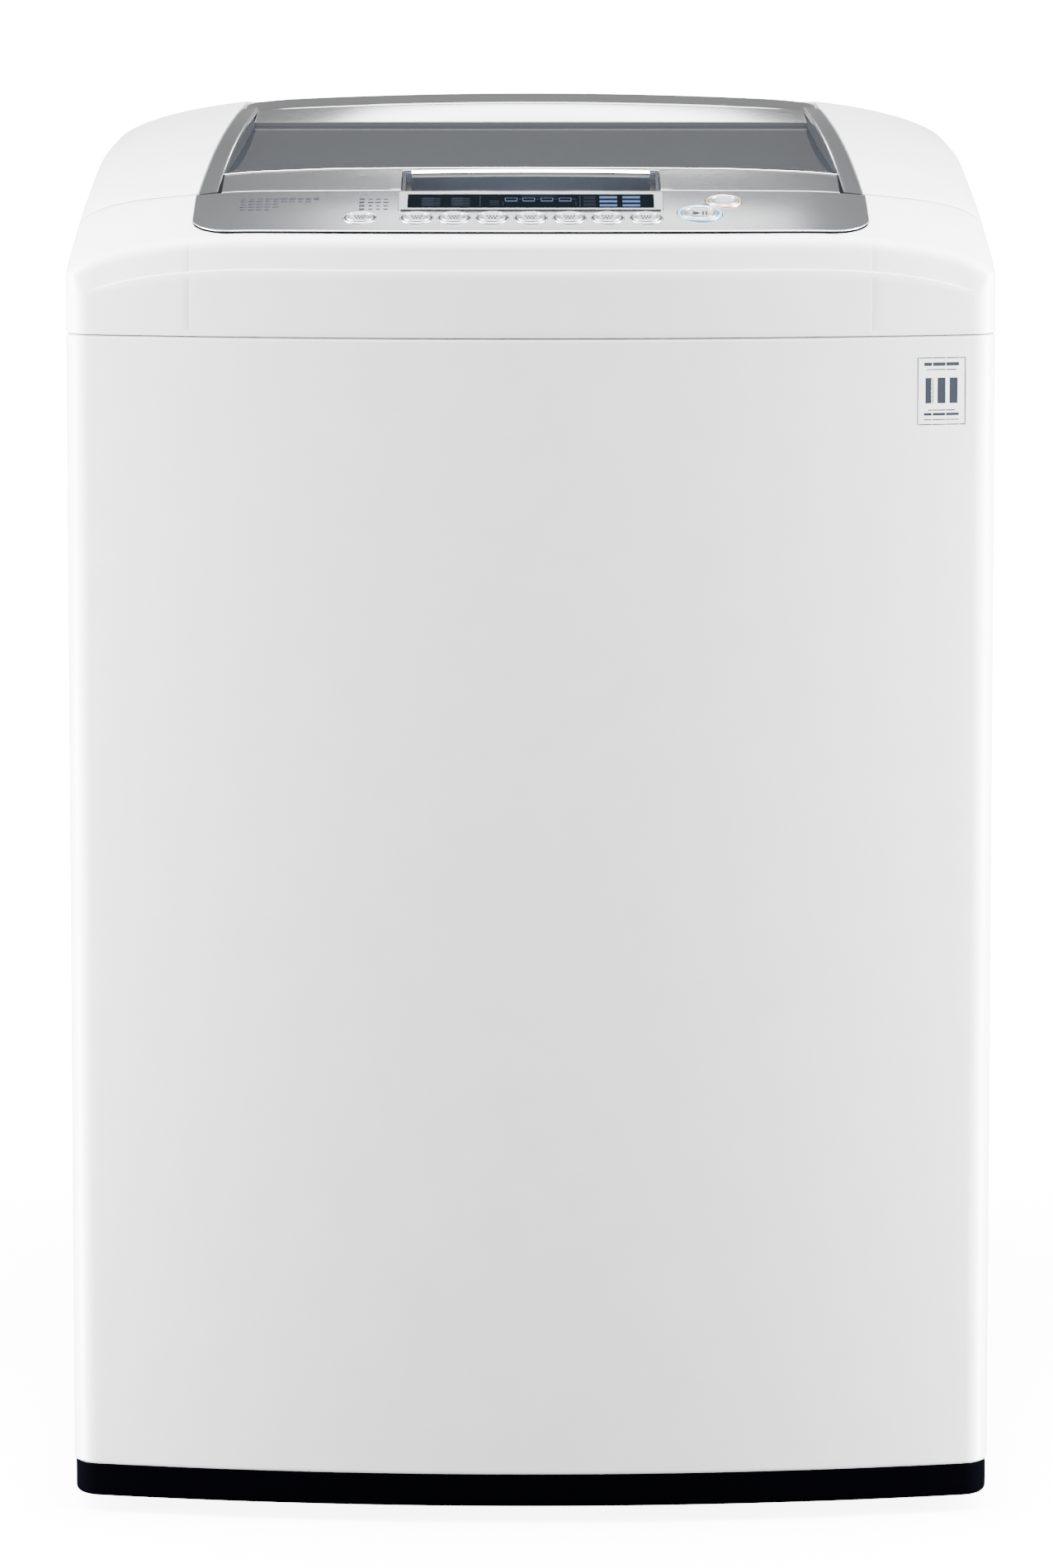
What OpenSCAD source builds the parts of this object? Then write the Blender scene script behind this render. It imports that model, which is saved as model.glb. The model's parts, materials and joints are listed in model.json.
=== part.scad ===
// Top load washing machine with a sloping control panel and a glass lid.
// Millimetres. +X is the machine's right, +Y its rear, +Z up. Z = 0 is the floor.

/* [Cabinet] */
// Width across the cabinet's sides
body_w = 686; // [676:1:700]
// Depth from the middle of the bowed front to the ends of the rear ports
body_d = 720; // [716:1:724]
// How far the front bows out at its middle
front_bow = 36; // [30:1:40]
// Radius of the cabinet's front vertical corners
corner_r = 22; // [18:1:26]
// Height of the seam between the cabinet and its top
seam_z = 887; // [884:1:890]
// Thickness of the sheet metal
sheet_t = 1.2; // [1:0.1:2]
// Height of the cabinet's lower edge, which is the top of the base
base_top = 37; // [34:1:40]
// Height of the base above the floor
foot_gap = 12; // [10:1:14]

/* [Top surface] */
// Height of the flat rear part of the top
top_h = 1026; // [1020:1:1030]
// Height that the top gains from its front edge to its rear
front_fall = 63; // [60:1:66]
// How far the top falls from its middle to the edge of the lid
side_fall = 7; // [5:1:8]
// How far the shoulders fall to the cabinet's sides
shoulder_fall = 40; // [36:1:42]
// Radius of the rounded front edge of the top
edge_r = 20; // [16:1:22]
// Wall thickness of the moulded plastic top parts
wall = 3; // [2.6:0.1:3.2]

/* [Control panel] */
// Depth of the white edge in front of the panel
panel_start = 16; // [15:1:17]
// Depth from the front face to the rear edge of the panel
panel_end = 106; // [104:1:106]
// Diameter of the small buttons
button_d = 21; // [19:1:22]
// Diameter of the start button
start_d = 28; // [26:1:29]
// How far a button travels when it is pressed
button_travel = 1.5; // [1:0.1:1.8]

/* [Lid] */
// Half of the lid's width
lid_hw = 249; // [246:1:250]
// Half of the glass's width
glass_hw = 234; // [228:1:235]
// Height of the hinge axis above the floor
hinge_z = 1012; // [1011:1:1013]
// Position of the hinge axis behind the middle of the machine
hinge_y = 222; // [220:1:224]

/* [Drum] */
// Outer radius of the tub
tub_r = 300; // [290:1:300]
// Outer radius of the basket
basket_r = 270; // [255:1:272]
// Height of the tub's floor
tub_z = 230; // [228:1:234]
// Height of the tub's upper rim
tub_top = 838; // [830:1:840]
// Radius of the opening under the lid
mouth_r = 222; // [215:1:224]

/* [Hidden] */
$fn = 72;
hw = body_w / 2;
y_front = -body_d / 2;
y_rear = body_d / 2;
bow_r = (hw * hw + front_bow * front_bow) / (2 * front_bow);
bow_cy = y_front + bow_r;
corner_cy = bow_cy - sqrt(pow(bow_r - corner_r, 2) - pow(hw - corner_r, 2));
corner_tilt = asin((hw - corner_r) / (bow_r - corner_r));
panel_slope = 15.2;
back_y = y_rear - 14;
cover_back = y_rear - 10;
lid_gap = 2;
lid_rear = hinge_y + 4;
trim_front = hinge_y + 16.5;
trim_rear = y_rear - 38;
glass_front = -184;
glass_rear = 146;
glass_slope = 2.84;
glass_z = 1001.8;
glass_mid = (glass_front + glass_rear) / 2;
glass_t = 4;
button_e = 46;
button_x = [-126, -84, -56.5, -28.5, 0, 28.5, 56.5, 85];
start_x = 124.7;
start_e = 54.6;
power_x = 143;
power_e = 81;
display_hw = 98;
display_e = 82.5;
foot_x = 286;
foot_y = [-262, 290];
rod_xy = 250;
rod_top = 806;
rod_low = 235;
lug_z = 300;
pump_xy = [-200, 200];
pump_z = 85;
gland_at = [280, 840];
valve_x = [205, 255];
valve_z = 930;
shaft_r = 8;
spin_r = 15;
fit = 0.06;
well_front = -257.5;
switch_h = 14 - button_travel;
tray_gap = 3.3;
// Columns shared by the sheets that meet along the panel and along the seam
shoulder_x = [260, 270, 285, 300, 313, 324, 333, 339.5, hw];
panel_x = [220, 231, 240, 246, 249];

white = "#eceef0";
silver = "#a9b1ba";
steel = "#b9bec4";
dark = "#2b2e33";
grey = "#8b9097";

// ---- The top surface: its height at any point, and sheets that follow it ----

function bow_y(x) = bow_cy - sqrt(bow_r * bow_r - x * x);

function arc_drop(r, e) = e >= r ? 0 : r - sqrt(r * r - pow(r - max(e, 0), 2));

function ease(t) = let(c = min(max(t, 0), 1)) c * c * (3 - 2 * c);

// How far the shoulders fall, which is most in the middle of the machine's depth
function fall_at(y) = shoulder_fall
  - 9 * ease((y + 64) / 220) - 7 * (1 - ease((y + 300) / 120));

function shoulder(x, y) = let(s = (abs(x) - 200) / (hw - 200))
  s <= 0 ? 0 : fall_at(y) * (1 - sqrt(max(0, 1 - s * s)));

function top_z(x, y) =
  top_h - front_fall * pow(max(0, 1 - (y - y_front - 16) / 640), 3.3)
  - side_fall * pow(x / lid_hw, 2) - shoulder(x, y)
  - arc_drop(edge_r, y - bow_y(x)) - arc_drop(24, cover_back - y);

// Evenly spaced numbers from a to b
function spread(a, b, n) = [for (i = [0 : n]) a + (b - a) * i / n];

// Faces of a closed sheet whose outer and inner points are grids of nx by ny
function sheet_faces(nx, ny) = let(n = nx * ny, i1 = nx - 1, j1 = ny - 1) concat(
  [for (i = [0 : nx - 2], j = [0 : ny - 2]) each let(p = i * ny + j) [
    [p, p + 1, p + ny + 1], [p, p + ny + 1, p + ny],
    [n + p, n + p + ny + 1, n + p + 1], [n + p, n + p + ny, n + p + ny + 1]]],
  [for (i = [0 : nx - 2]) each let(p = i * ny, q = p + ny, r = p + j1, s = q + j1) [
    [p, q, n + q], [p, n + q, n + p], [s, r, n + r], [s, n + r, n + s]]],
  [for (j = [0 : ny - 2]) each let(p = j, q = i1 * ny + j) [
    [p + 1, p, n + p], [p + 1, n + p, n + p + 1],
    [q, q + 1, n + q + 1], [q, n + q + 1, n + q]]]
);

module sheet(outer, inner, nx, ny) {
  polyhedron(points = concat(outer, inner), faces = sheet_faces(nx, ny), convexity = 6);
}

// A sheet of the top surface over the columns xs, from y0(x) to y1(x), between the depths
// a and b below the surface
module skin(xs, y0, y1, n, a, b) {
  function grid(d) = [for (x = xs, j = [0 : n])
    let(y = y0(x) + (y1(x) - y0(x)) * j / n) [x, y, top_z(x, y) - d]];
  sheet(grid(a), grid(b), len(xs), n + 1);
}

// A wall in the Y-Z plane from height z0 up to d below the top surface at x = at
module side_wall(x0, x1, at, ya, yb, z0, d, n = 12) {
  ys = spread(ya, yb, n);
  points = concat([for (y = ys) [y, top_z(at, y) - d]], [[yb, z0], [ya, z0]]);
  translate([x0, 0, 0]) rotate([90, 0, 90]) linear_extrude(x1 - x0) polygon(points);
}

// A strip in the Y-Z plane between the depths a and b below the top surface at x = at
module side_strip(x0, x1, at, ya, yb, a, b, n = 12) {
  points = concat([for (y = spread(ya, yb, n)) [y, top_z(at, y) - a]],
    [for (y = spread(yb, ya, n)) [y, top_z(at, y) - b]]);
  translate([x0, 0, 0]) rotate([90, 0, 90]) linear_extrude(x1 - x0) polygon(points);
}

module both_sides() {
  children();
  mirror([1, 0, 0]) children();
}

// ---- Outline of the cabinet in plan, moved inwards by d ----

function outline(d) = let(r = max(corner_r - d, 1), h = hw - d) concat(
  [for (a = spread(-corner_tilt, corner_tilt, 20))
    [(bow_r - d) * sin(a), bow_cy - (bow_r - d) * cos(a)]],
  [for (a = spread(-90 + corner_tilt, 0, 5))
    [hw - corner_r + r * cos(a), corner_cy + r * sin(a)]],
  [[h, back_y - d], [-h, back_y - d]],
  [for (a = spread(180, 270 - corner_tilt, 5))
    [-(hw - corner_r) + r * cos(a), corner_cy + r * sin(a)]]
);

module ring_plan(d0, d1) {
  difference() {
    polygon(outline(d0));
    polygon(outline(d1));
  }
}

module tube(r0, r1, h) {
  difference() {
    cylinder(r = r0, h = h);
    translate([0, 0, -1]) cylinder(r = r1, h = h + 2);
  }
}

module corners_of_feet() {
  for (x = [-foot_x, foot_x], y = foot_y) translate([x, y, 0]) children();
}

module at_rods() {
  for (x = [-rod_xy, rod_xy], y = [-rod_xy, rod_xy]) translate([x, y, 0]) children();
}

// ---- Cabinet and base ----

module cabinet() color(white) {
  difference() {
    translate([0, 0, base_top]) linear_extrude(seam_z - base_top) ring_plan(0, sheet_t);
    translate([-hw + 16, back_y - 3, base_top - 1]) cube([body_w - 32, 8, seam_z]);
    at_screws() cylinder(r = 2.4, h = 20, center = true);
  }
  // Flanges turned inwards at the bottom and the top
  for (z = [base_top, seam_z - 14])
    translate([0, 0, z]) linear_extrude(sheet_t) difference() {
      polygon(outline(0.5));
      polygon(outline(18));
      translate([-hw, back_y - 30]) square([body_w, 40]);
    }
}

// Pressed corner braces that the suspension rods hang from
module cabinet_braces() color(steel)
  at_corner_braces() difference() {
    union() {
      translate([-26, -26, 0]) cube([52 + hw - sheet_t - rod_xy - 26.4, 52, 4]);
      translate([hw - sheet_t - rod_xy - 3.2, -26, 0]) cube([2.8, 52, 46]);
    }
    translate([0, 0, -1]) cylinder(r = 7, h = 8);
  }

module at_corner_braces() {
  for (sx = [0, 1], y = [-rod_xy, rod_xy])
    mirror([sx, 0, 0]) translate([rod_xy, y, rod_top - 4]) children();
}

module rear_panel() color(white) difference() {
  union() {
    translate([-hw + 3, back_y + 0.1, base_top + 2])
      cube([body_w - 6, sheet_t, seam_z - base_top - 3]);
    // Pressed stiffening ribs
    for (z = [260, 460, 660])
      translate([-230, back_y + 0.1, z]) cube([460, 3.4, 26]);
  }
  translate([pump_xy[0], back_y, pump_z]) rotate([90, 0, 0]) cylinder(r = 21, h = 20, center = true);
  translate([gland_at[0], back_y, gland_at[1]]) rotate([90, 0, 0])
    cylinder(r = 10, h = 20, center = true);
  at_screws() cylinder(r = 2.4, h = 20, center = true);
}

// Places its children at the rear panel's screws, with Z pointing into the machine
module at_screws() {
  for (x = [-334, 334], z = [90, 350, 610, 850])
    translate([x, back_y + 0.1 + sheet_t, z]) rotate([90, 0, 0]) children();
}

module rear_screws() color(steel) at_screws() {
  difference() {
    translate([0, 0, -2.6]) cylinder(r = 5, h = 2.5);
    translate([-4, -0.6, -3]) cube([8, 1.2, 1.4]);
  }
  translate([0, 0, -0.5]) cylinder(r = 2.2, h = 12);
}

module base() color(dark) difference() {
  union() {
    translate([0, 0, foot_gap]) linear_extrude(base_top - foot_gap - 0.4) ring_plan(1, 24);
    intersection() {
      corners_of_feet() translate([-40, -48, foot_gap]) cube([80, 96, 12]);
      translate([0, 0, foot_gap]) linear_extrude(30) polygon(outline(2));
    }
    corners_of_feet() translate([0, 0, foot_gap]) cylinder(r = 14, h = base_top - foot_gap);
    // Cross rails, one of which carries the pump
    for (y = [-120, 120]) translate([-hw + 20, y, foot_gap]) cube([body_w - 40, 36, 8]);
    translate([pump_xy[0] - 60, 150, foot_gap]) cube([120, 100, 8]);
    translate([-pump_xy[0] - 20, 150, foot_gap]) cube([40, 175, 8]);
  }
  corners_of_feet() translate([0, 0, foot_gap - 1]) cylinder(r = 5 + fit, h = 40);
}

module lock_nuts() color(steel)
  corners_of_feet() translate([0, 0, base_top + 0.1]) difference() {
    cylinder(r = 10, h = 8, $fn = 6);
    translate([0, 0, -1]) cylinder(r = 5 + fit, h = 10);
  }

module foot(x, y) color(dark) translate([x, y, 0]) {
  cylinder(r = 22, h = 5);
  translate([0, 0, 5]) cylinder(r1 = 22, r2 = 13, h = 5);
  cylinder(r = 5, h = 56);
}

// ---- The white top: control housing, top cover and the well under the lid ----

// Front edge of the silver panel, whose front corners are rounded
function panel_y0(x) = bow_y(x) + panel_start
  + (abs(x) > 220 ? 30 - sqrt(900 - pow(min(abs(x) - 220, 29.9), 2)) : 0);
function panel_y1(x) = bow_y(x) + panel_end;

// Seam between the control housing and the top cover
function seam_y(x) = -232 + (abs(x) > 252 ? 58 * pow((abs(x) - 252) / (hw - 252), 1.5) : 0);

function outline_y(x) = let(s = abs(x) - (hw - corner_r) - corner_r * sin(corner_tilt))
  s <= 0 ? bow_y(x) : corner_cy - sqrt(max(0, corner_r * corner_r
    - pow(abs(x) - hw + corner_r, 2)));

function housing_column(x) = let(y = outline_y(x), e = panel_y0(x) - bow_y(x),
  last = abs(x) > 251 ? seam_y(x) : panel_y1(x) + 1)
  concat([for (s = [0, 2, 5, 9, 13]) y + s], abs(x) > 251
    ? spread(y + 16, last, 5)
    : concat([y + e - 0.2, y + e], spread(y + e + 15, last, 3)));

module control_housing() color(white) {
  half = concat([0, 45, 90, 130, 170, 205], panel_x, [250.4, 251.2], shoulder_x);
  xs = concat([for (i = [len(half) - 1 : -1 : 1]) -half[i]], half);
  outer = [for (x = xs) let(ys = housing_column(x), y = outline_y(x)) each concat(
    [[x, y, seam_z + 0.4]],
    [for (k = [0 : len(ys) - 1]) [x, ys[k],
      top_z(x, ys[k]) - (abs(x) < 251 && k > 5 ? tray_gap : 0)]])];
  inner = [for (x = xs) let(ys = housing_column(x), y = outline_y(x), xi = x * (hw - wall) / hw)
    each concat(
      [[xi, y + wall, seam_z + 0.4]],
      [for (k = [0 : len(ys) - 1])
        let(yi = ys[k] + wall * max(0, 1 - (ys[k] - y) / 20))
        [xi, abs(x) > 251 ? min(yi, seam_y(xi)) : yi,
          top_z(x, ys[k]) - wall - (abs(x) < 251 && k > 5 ? tray_gap : 0)]])];
  difference() {
    sheet(outer, inner, len(xs), 12);
    panel_openings(2);
  }
  both_sides() side_wall(hw - wall, hw - 0.01, hw, corner_cy, seam_y(hw - wall), seam_z + 0.4, 1);
}

// Holes through the housing's tray behind the panel, wider than the parts by m
module panel_openings(m) {
  for (x = button_x) on_panel(x, button_e) translate([0, 0, -14]) cylinder(r = button_d / 2 + m, h = 14);
  on_panel(start_x, start_e) translate([0, 0, -14]) cylinder(r = start_d / 2 + 1 + m, h = 14);
  on_panel(power_x, power_e) translate([0, 0, -14]) cylinder(r = button_d / 2 + 1 + m, h = 14);
  on_panel(0, display_e) translate([-display_hw - m / 4, -20 - m / 4, -16])
    cube([2 * display_hw + m / 2, 40 + m / 2, 16]);
}

// Places its children on the panel at x and at depth e behind the front face
module on_panel(x, e) {
  y = bow_y(x) + e;
  translate([x, y, top_z(x, y)]) rotate([panel_slope, 0, 0]) children();
}

module top_cover() color(white) {
  half = concat([0, 120, 220, 251.2], shoulder_x);
  xs = concat([for (i = [len(half) - 1 : -1 : 1]) -half[i]], half);
  difference() {
    skin(xs, function(x) seam_y(x) + 0.8, function(x) cover_back, 14, 0, wall);
    translate([-lid_hw - 1, -300, 900]) cube([2 * lid_hw + 2, 300 + trim_rear + 1, 200]);
  }
  both_sides()
    side_wall(hw - wall, hw - 0.01, hw, seam_y(hw) + 0.8, cover_back - 1, seam_z + 0.4, 1);
  difference() {
    translate([0, cover_back - 1, 0]) rotate([90, 0, 0]) linear_extrude(wall) polygon(concat(
      [for (x = spread(-hw + 1, hw - 1, 24)) [x, top_z(x, cover_back - 1) - 1]],
      [[hw - 1, seam_z + 0.4], [-hw + 1, seam_z + 0.4]]));
    for (x = valve_x) translate([x, y_rear, valve_z]) rotate([90, 0, 0]) cylinder(r = 21, h = 30);
  }
}

function deck_z(y) = 938 + (y + 250) * 34 / 488;

// Deck that closes the top of the cabinet round the opening of the tub
module lid_well() color(white) {
  difference() {
    union() {
      translate([-258, 0, 0]) rotate([90, 0, 90]) linear_extrude(516) polygon([
        [well_front, deck_z(well_front)], [244, deck_z(244)], [244, deck_z(244) - wall],
        [well_front, deck_z(well_front) - wall]]);
      intersection() {
        translate([0, 0, 884]) cylinder(r = mouth_r + wall, h = 120);
        translate([-258, 0, 0]) rotate([90, 0, 90]) linear_extrude(516) polygon([
          [well_front, deck_z(well_front) - 1], [244, deck_z(244) - 1], [244, 884],
          [well_front, 884]]);
      }
    }
    translate([0, 0, 880]) cylinder(r = mouth_r, h = 140);
    translate([-84, 190, 902]) cube([168, 60, 52]);
  }
  both_sides() side_wall(258, 260.5, 260, well_front, 244, deck_z(well_front) - 8, wall + 0.6);
  // Front wall under the rear edge of the panel, and rear wall under the rear trim
  translate([-259, well_front, 928]) cube([518, 2.5, 37]);
  translate([-259, 242, deck_z(242) - 1]) cube([518, 2.5, 1010 - deck_z(242)]);
}

// ---- Control panel ----

panel_half = concat([0, 45, 90, 130, 170, 205], panel_x, [249.9]);
panel_xs = concat([for (i = [len(panel_half) - 1 : -1 : 1]) -panel_half[i]], panel_half);

module fascia() color(silver) difference() {
  skin(panel_xs, function(x) panel_y0(x) + 0.6, function(x) panel_y1(x), 6, 0, 3);
  for (x = button_x) on_panel(x, button_e) translate([0, 0, -9]) cylinder(r = button_d / 2 + 0.35, h = 18);
  on_panel(start_x, start_e) translate([0, 0, -9]) cylinder(r = start_d / 2 + 2.45, h = 18);
  on_panel(power_x, power_e) translate([0, 0, -9]) cylinder(r = button_d / 2 + 2.75, h = 18);
  on_panel(0, display_e) translate([-display_hw - 0.3, -20.3, -16])
    cube([2 * display_hw + 0.6, 40.6, 30]);
  for (k = [0 : 3]) on_lens(k) translate([-2.7, -1.2, -9]) cube([5.4, 2.4, 18]);
}

module display_bezel() color(silver) on_panel(0, display_e) difference() {
  translate([-display_hw, -20, -6]) cube([2 * display_hw, 40, 7.2]);
  translate([-display_hw + 4, -15, -3]) cube([2 * display_hw - 8, 30, 10]);
  translate([-display_hw + 8, -12, -10]) cube([2 * display_hw - 16, 24, 20]);
}

// Display window, and four small indicator lenses beside it
module display_window() color("#10141a") {
  on_panel(0, display_e) translate([-display_hw + 4.2, -14.8, -2.9])
    cube([2 * display_hw - 8.4, 29.6, 2.6]);
  for (k = [0 : 3]) on_lens(k) translate([-2.5, -1, -2]) cube([5, 2, 2.3]);
}

// Places its child at indicator lens k, counted from the front
module on_lens(k) {
  on_panel(-125, 64 + 7.5 * k) children();
}

module button_rings() color("#c8a060") {
  on_panel(start_x, start_e) translate([0, 0, -5]) tube(start_d / 2 + 2.4, start_d / 2 + 0.35, 5.6);
  on_panel(power_x, power_e) translate([0, 0, -5]) tube(button_d / 2 + 2.7, button_d / 2 + 1.35, 5.6);
}

module button(x, e, r) color(silver) on_panel(x, e) {
  translate([0, 0, -6]) cylinder(r = r, h = 6.6);
  translate([0, 0, 0.6]) cylinder(r1 = r, r2 = r - 1.2, h = 1);
  translate([0, 0, -16]) cylinder(r = 3, h = 11);
}

// Circuit board with one switch under each button, and the display's light box
module control_board() color("#2f6b3f") {
  on_panel(0, 66) translate([-165, -34, -31]) cube([330, 60, 1.6]);
  for (x = button_x) on_panel(x, button_e) translate([-4, -4, -31]) cube([8, 8, switch_h]);
  on_panel(start_x, start_e) translate([-4, -4, -31]) cube([8, 8, switch_h]);
  on_panel(power_x, power_e) translate([-4, -4, -34]) cube([8, 8, switch_h + 3]);
  on_panel(0, display_e) translate([-display_hw + 9, -11, -31]) cube([2 * display_hw - 18, 22, 27]);
}

// ---- Rear of the top ----

module rear_trim() color(silver) {
  skin(spread(-lid_hw, lid_hw, 12), function(x) trim_front, function(x) trim_rear, 4, 0, wall);
  // Lip that turns down in front of the trim
  translate([0, trim_front + 2.5, 0]) rotate([90, 0, 0]) linear_extrude(2.3) polygon(concat(
    [for (x = spread(-lid_hw + 1, lid_hw - 1, 12)) [x, top_z(x, trim_front + 1) - 1]],
    [[lid_hw - 1, 1001], [1 - lid_hw, 1001]]));
}

module hinge_brackets() color(steel)
  for (x = [-106, 94]) difference() {
    union() {
      translate([x, hinge_y, hinge_z]) rotate([0, 90, 0]) cylinder(r = 6.2, h = 12);
      translate([x, hinge_y - 6, deck_z(hinge_y + 18) + 0.1]) cube([12, 12, hinge_z - deck_z(hinge_y + 18) - 0.1]);
      translate([x - 12, hinge_y - 6, deck_z(hinge_y + 18) + 0.1]) cube([36, 24, 3]);
    }
    translate([x - 1, hinge_y, hinge_z]) rotate([0, 90, 0]) cylinder(r = 3 + fit, h = 14);
  }

module inlet_valves() color(dark)
  for (x = valve_x) translate([x, 0, valve_z]) {
    difference() {
      translate([0, y_rear, 0]) rotate([90, 0, 0]) cylinder(r = 13.3, h = 20);
      translate([0, y_rear + 1, 0]) rotate([90, 0, 0]) cylinder(r = 10, h = 14);
    }
    translate([-20, y_rear - 62, -18]) cube([40, 43, 36]);
    // Outlet towards the dispenser, and the solenoid on top
    translate([-18, y_rear - 40, -6]) rotate([0, -90, 0]) cylinder(r = 6, h = x == valve_x[0] ? 62 : 12);
    translate([0, y_rear - 40, 17]) cylinder(r = 13, h = 20);
  }

module dispenser_housing() color(white) difference() {
  translate([-82, 226, 904]) cube([164, 112, 47]);
  translate([-79, 220, 907]) cube([158, 115, 41]);
}

module dispenser_drawer() color("#dfe8f0") difference() {
  union() {
    translate([-77, 228, 908]) cube([154, 100, 34]);
    translate([-78, 224.5, 907.5]) cube([156, 4, 39]);
  }
  for (x = [-74, 2]) translate([x, 231, 911]) cube([72, 94, 40]);
  translate([-25, 220, 916]) cube([50, 6.5, 12]);
}

module lid_lock() color(dark) difference() {
  translate([150, well_front + 2.5, 941]) cube([44, 8, 16]);
  translate([160, well_front + 6.5, 946]) cube([24, 8, 6]);
}

// ---- Lid ----

function lid_y0(x) = bow_y(x) + panel_end + lid_gap;
function cap_y1(x) = min(bow_y(x) + 168, glass_front - 1.5);

module lid_window(m) {
  translate([-glass_hw - m, -230, 960]) cube([2 * (glass_hw + m), glass_rear + 230 + m, 80]);
}

// Places its children in the plane of the glass, with the origin at the glass's middle
module on_glass() {
  translate([0, glass_mid, glass_z]) rotate([glass_slope, 0, 0]) children();
}

module lid_frame() color(silver) {
  // Side rails
  both_sides() skin([glass_hw - 0.5, 237, 241, 245, lid_hw], function(x) lid_y0(x),
    function(x) lid_rear, 12, 0, wall);
  both_sides() side_strip(lid_hw - 3, lid_hw - 0.5, lid_hw, lid_y0(lid_hw) + 3, hinge_y - 2, 1, 24);
  // Rear band, a little below the rails
  skin(spread(-glass_hw, glass_hw, 10), function(x) glass_rear, function(x) lid_rear - 0.5, 4,
    0.4, wall + 0.4);
  // Ledge that carries the glass
  on_glass() translate([0, 0, -glass_t - 5]) difference() {
    translate([-246.4, -176, 0]) cube([492.8, 352, 4]);
    translate([-222, -150, -1]) cube([444, 300, 6]);
  }
  // Upstand between the ledge and the rear band
  translate([-231, glass_rear + 3, 1004]) cube([462, 2.5, 16.5]);
  for (x = [-121, -92.5, 79.5, 108]) hinge_knuckle(x);
}

// One of the four knuckles that the hinge pins are pressed into
module hinge_knuckle(x) difference() {
  union() {
    translate([x, hinge_y, hinge_z]) rotate([0, 90, 0]) cylinder(r = 7, h = 13);
    translate([x, hinge_y - 6, hinge_z]) cube([13, 8, 10.4]);
  }
  translate([x - 1, hinge_y, hinge_z]) rotate([0, 90, 0]) cylinder(r = 3 + fit / 2, h = 15);
}

module lid_front_cap() color(silver) {
  difference() {
    skin(spread(-229, 229, 16), function(x) lid_y0(x), function(x) cap_y1(x), 4, 0, 2.6);
    translate([-96.5, -260, 940]) cube([193, 66, 80]);
  }
  // Wall that turns down at the front, and two webs beside the handle
  difference() {
    skin(spread(-227, 227, 16), function(x) lid_y0(x) + 4, function(x) lid_y0(x) + 6.5, 1, 1, 28);
    translate([-96.5, -270, 940]) cube([193, 66, 80]);
  }
}

// Dark pocket under the handle bar
module handle_recess() color("#3f454d") {
  difference() {
    translate([0, 0, 966]) linear_extrude(19) polygon(concat(
      [for (x = spread(-96, 96, 8)) [x, lid_y0(x) + 0.8]], [[96, -194.5], [-96, -194.5]]));
    translate([-93.5, -260, 969]) cube([187, 63, 30]);
  }
  translate([-96, -197.2, 980]) cube([192, 2.2, 17]);
  both_sides() translate([89.4, -219, 968]) cube([5, 22.5, 17]);
}

module handle_bar() color("#e4e7ea") {
  skin(spread(-89, 89, 6), function(x) -219, function(x) -199, 3, 0, 4.5);
  both_sides() translate([82, -212, 969.05]) cube([5.2, 12, 23.5]);
}

module lid_glass() color([0.35, 0.38, 0.42, 0.8])
  on_glass() translate([-glass_hw + 0.6, -165, -glass_t]) cube([2 * glass_hw - 1.2, 330, glass_t]);

// White inner shell of the lid
module lid_liner() color(white) difference() {
  on_glass() difference() {
    translate([-241, -188, -18]) cube([482, 368, 8.6]);
    translate([-215, -140, -30]) cube([430, 280, 40]);
    translate([-238, -185, -15]) cube([476, 362, 10]);
  }
  translate([-100, -262, 955]) cube([200, 70, 50]);
}

module hinge_pins() color(steel)
  for (x = [-121, 79.5]) translate([x, hinge_y, hinge_z]) rotate([0, 90, 0]) cylinder(r = 3, h = 41.5);

// ---- Tub and what hangs with it ----

module tub() color("#d5d9dc") {
  difference() {
    union() {
      translate([0, 0, tub_z]) cylinder(r = tub_r, h = tub_top - tub_z, $fn = 144);
      for (z = [330, 500, 670]) translate([0, 0, z]) cylinder(r = tub_r + 4, h = 6, $fn = 144);
      // Arms that rest on the suspension springs
      for (a = [45 : 90 : 315]) rotate([0, 0, a]) translate([tub_r - 8, -14, lug_z + 1])
        cube([sqrt(2) * rod_xy - tub_r + 26, 28, 14]);
    }
    translate([0, 0, tub_z + 4]) cylinder(r = tub_r - 3, h = tub_top, $fn = 144);
    translate([0, 0, tub_z - 1]) cylinder(r = 60.5, h = 10);
    at_rods() translate([0, 0, lug_z - 1]) cylinder(r = 6.5, h = 20);
    translate([pump_xy[0], pump_xy[1], tub_z - 1]) cylinder(r = 14, h = 8);
  }
  translate([pump_xy[0], pump_xy[1], 190]) tube(17, 14, tub_z - 189);
}

module tub_ring() color("#e3e6e8") rotate_extrude($fn = 144) polygon([
  [tub_r - 4, tub_top + 0.2], [tub_r + 4, tub_top + 0.2], [tub_r + 4, tub_top + 10],
  [240, tub_top + 26], [228, tub_top + 26], [228, tub_top + 22], [238, tub_top + 22],
  [tub_r - 4, tub_top + 7]]);

module sump_bellows() color(dark) translate([pump_xy[0], pump_xy[1], 0])
  rotate_extrude() polygon(concat([[14, 189.6], [14, 136.2]],
    [for (k = [0 : 8]) [k % 2 == 0 ? 18 : 23, 136.2 + 53.4 * k / 8]]));

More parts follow.
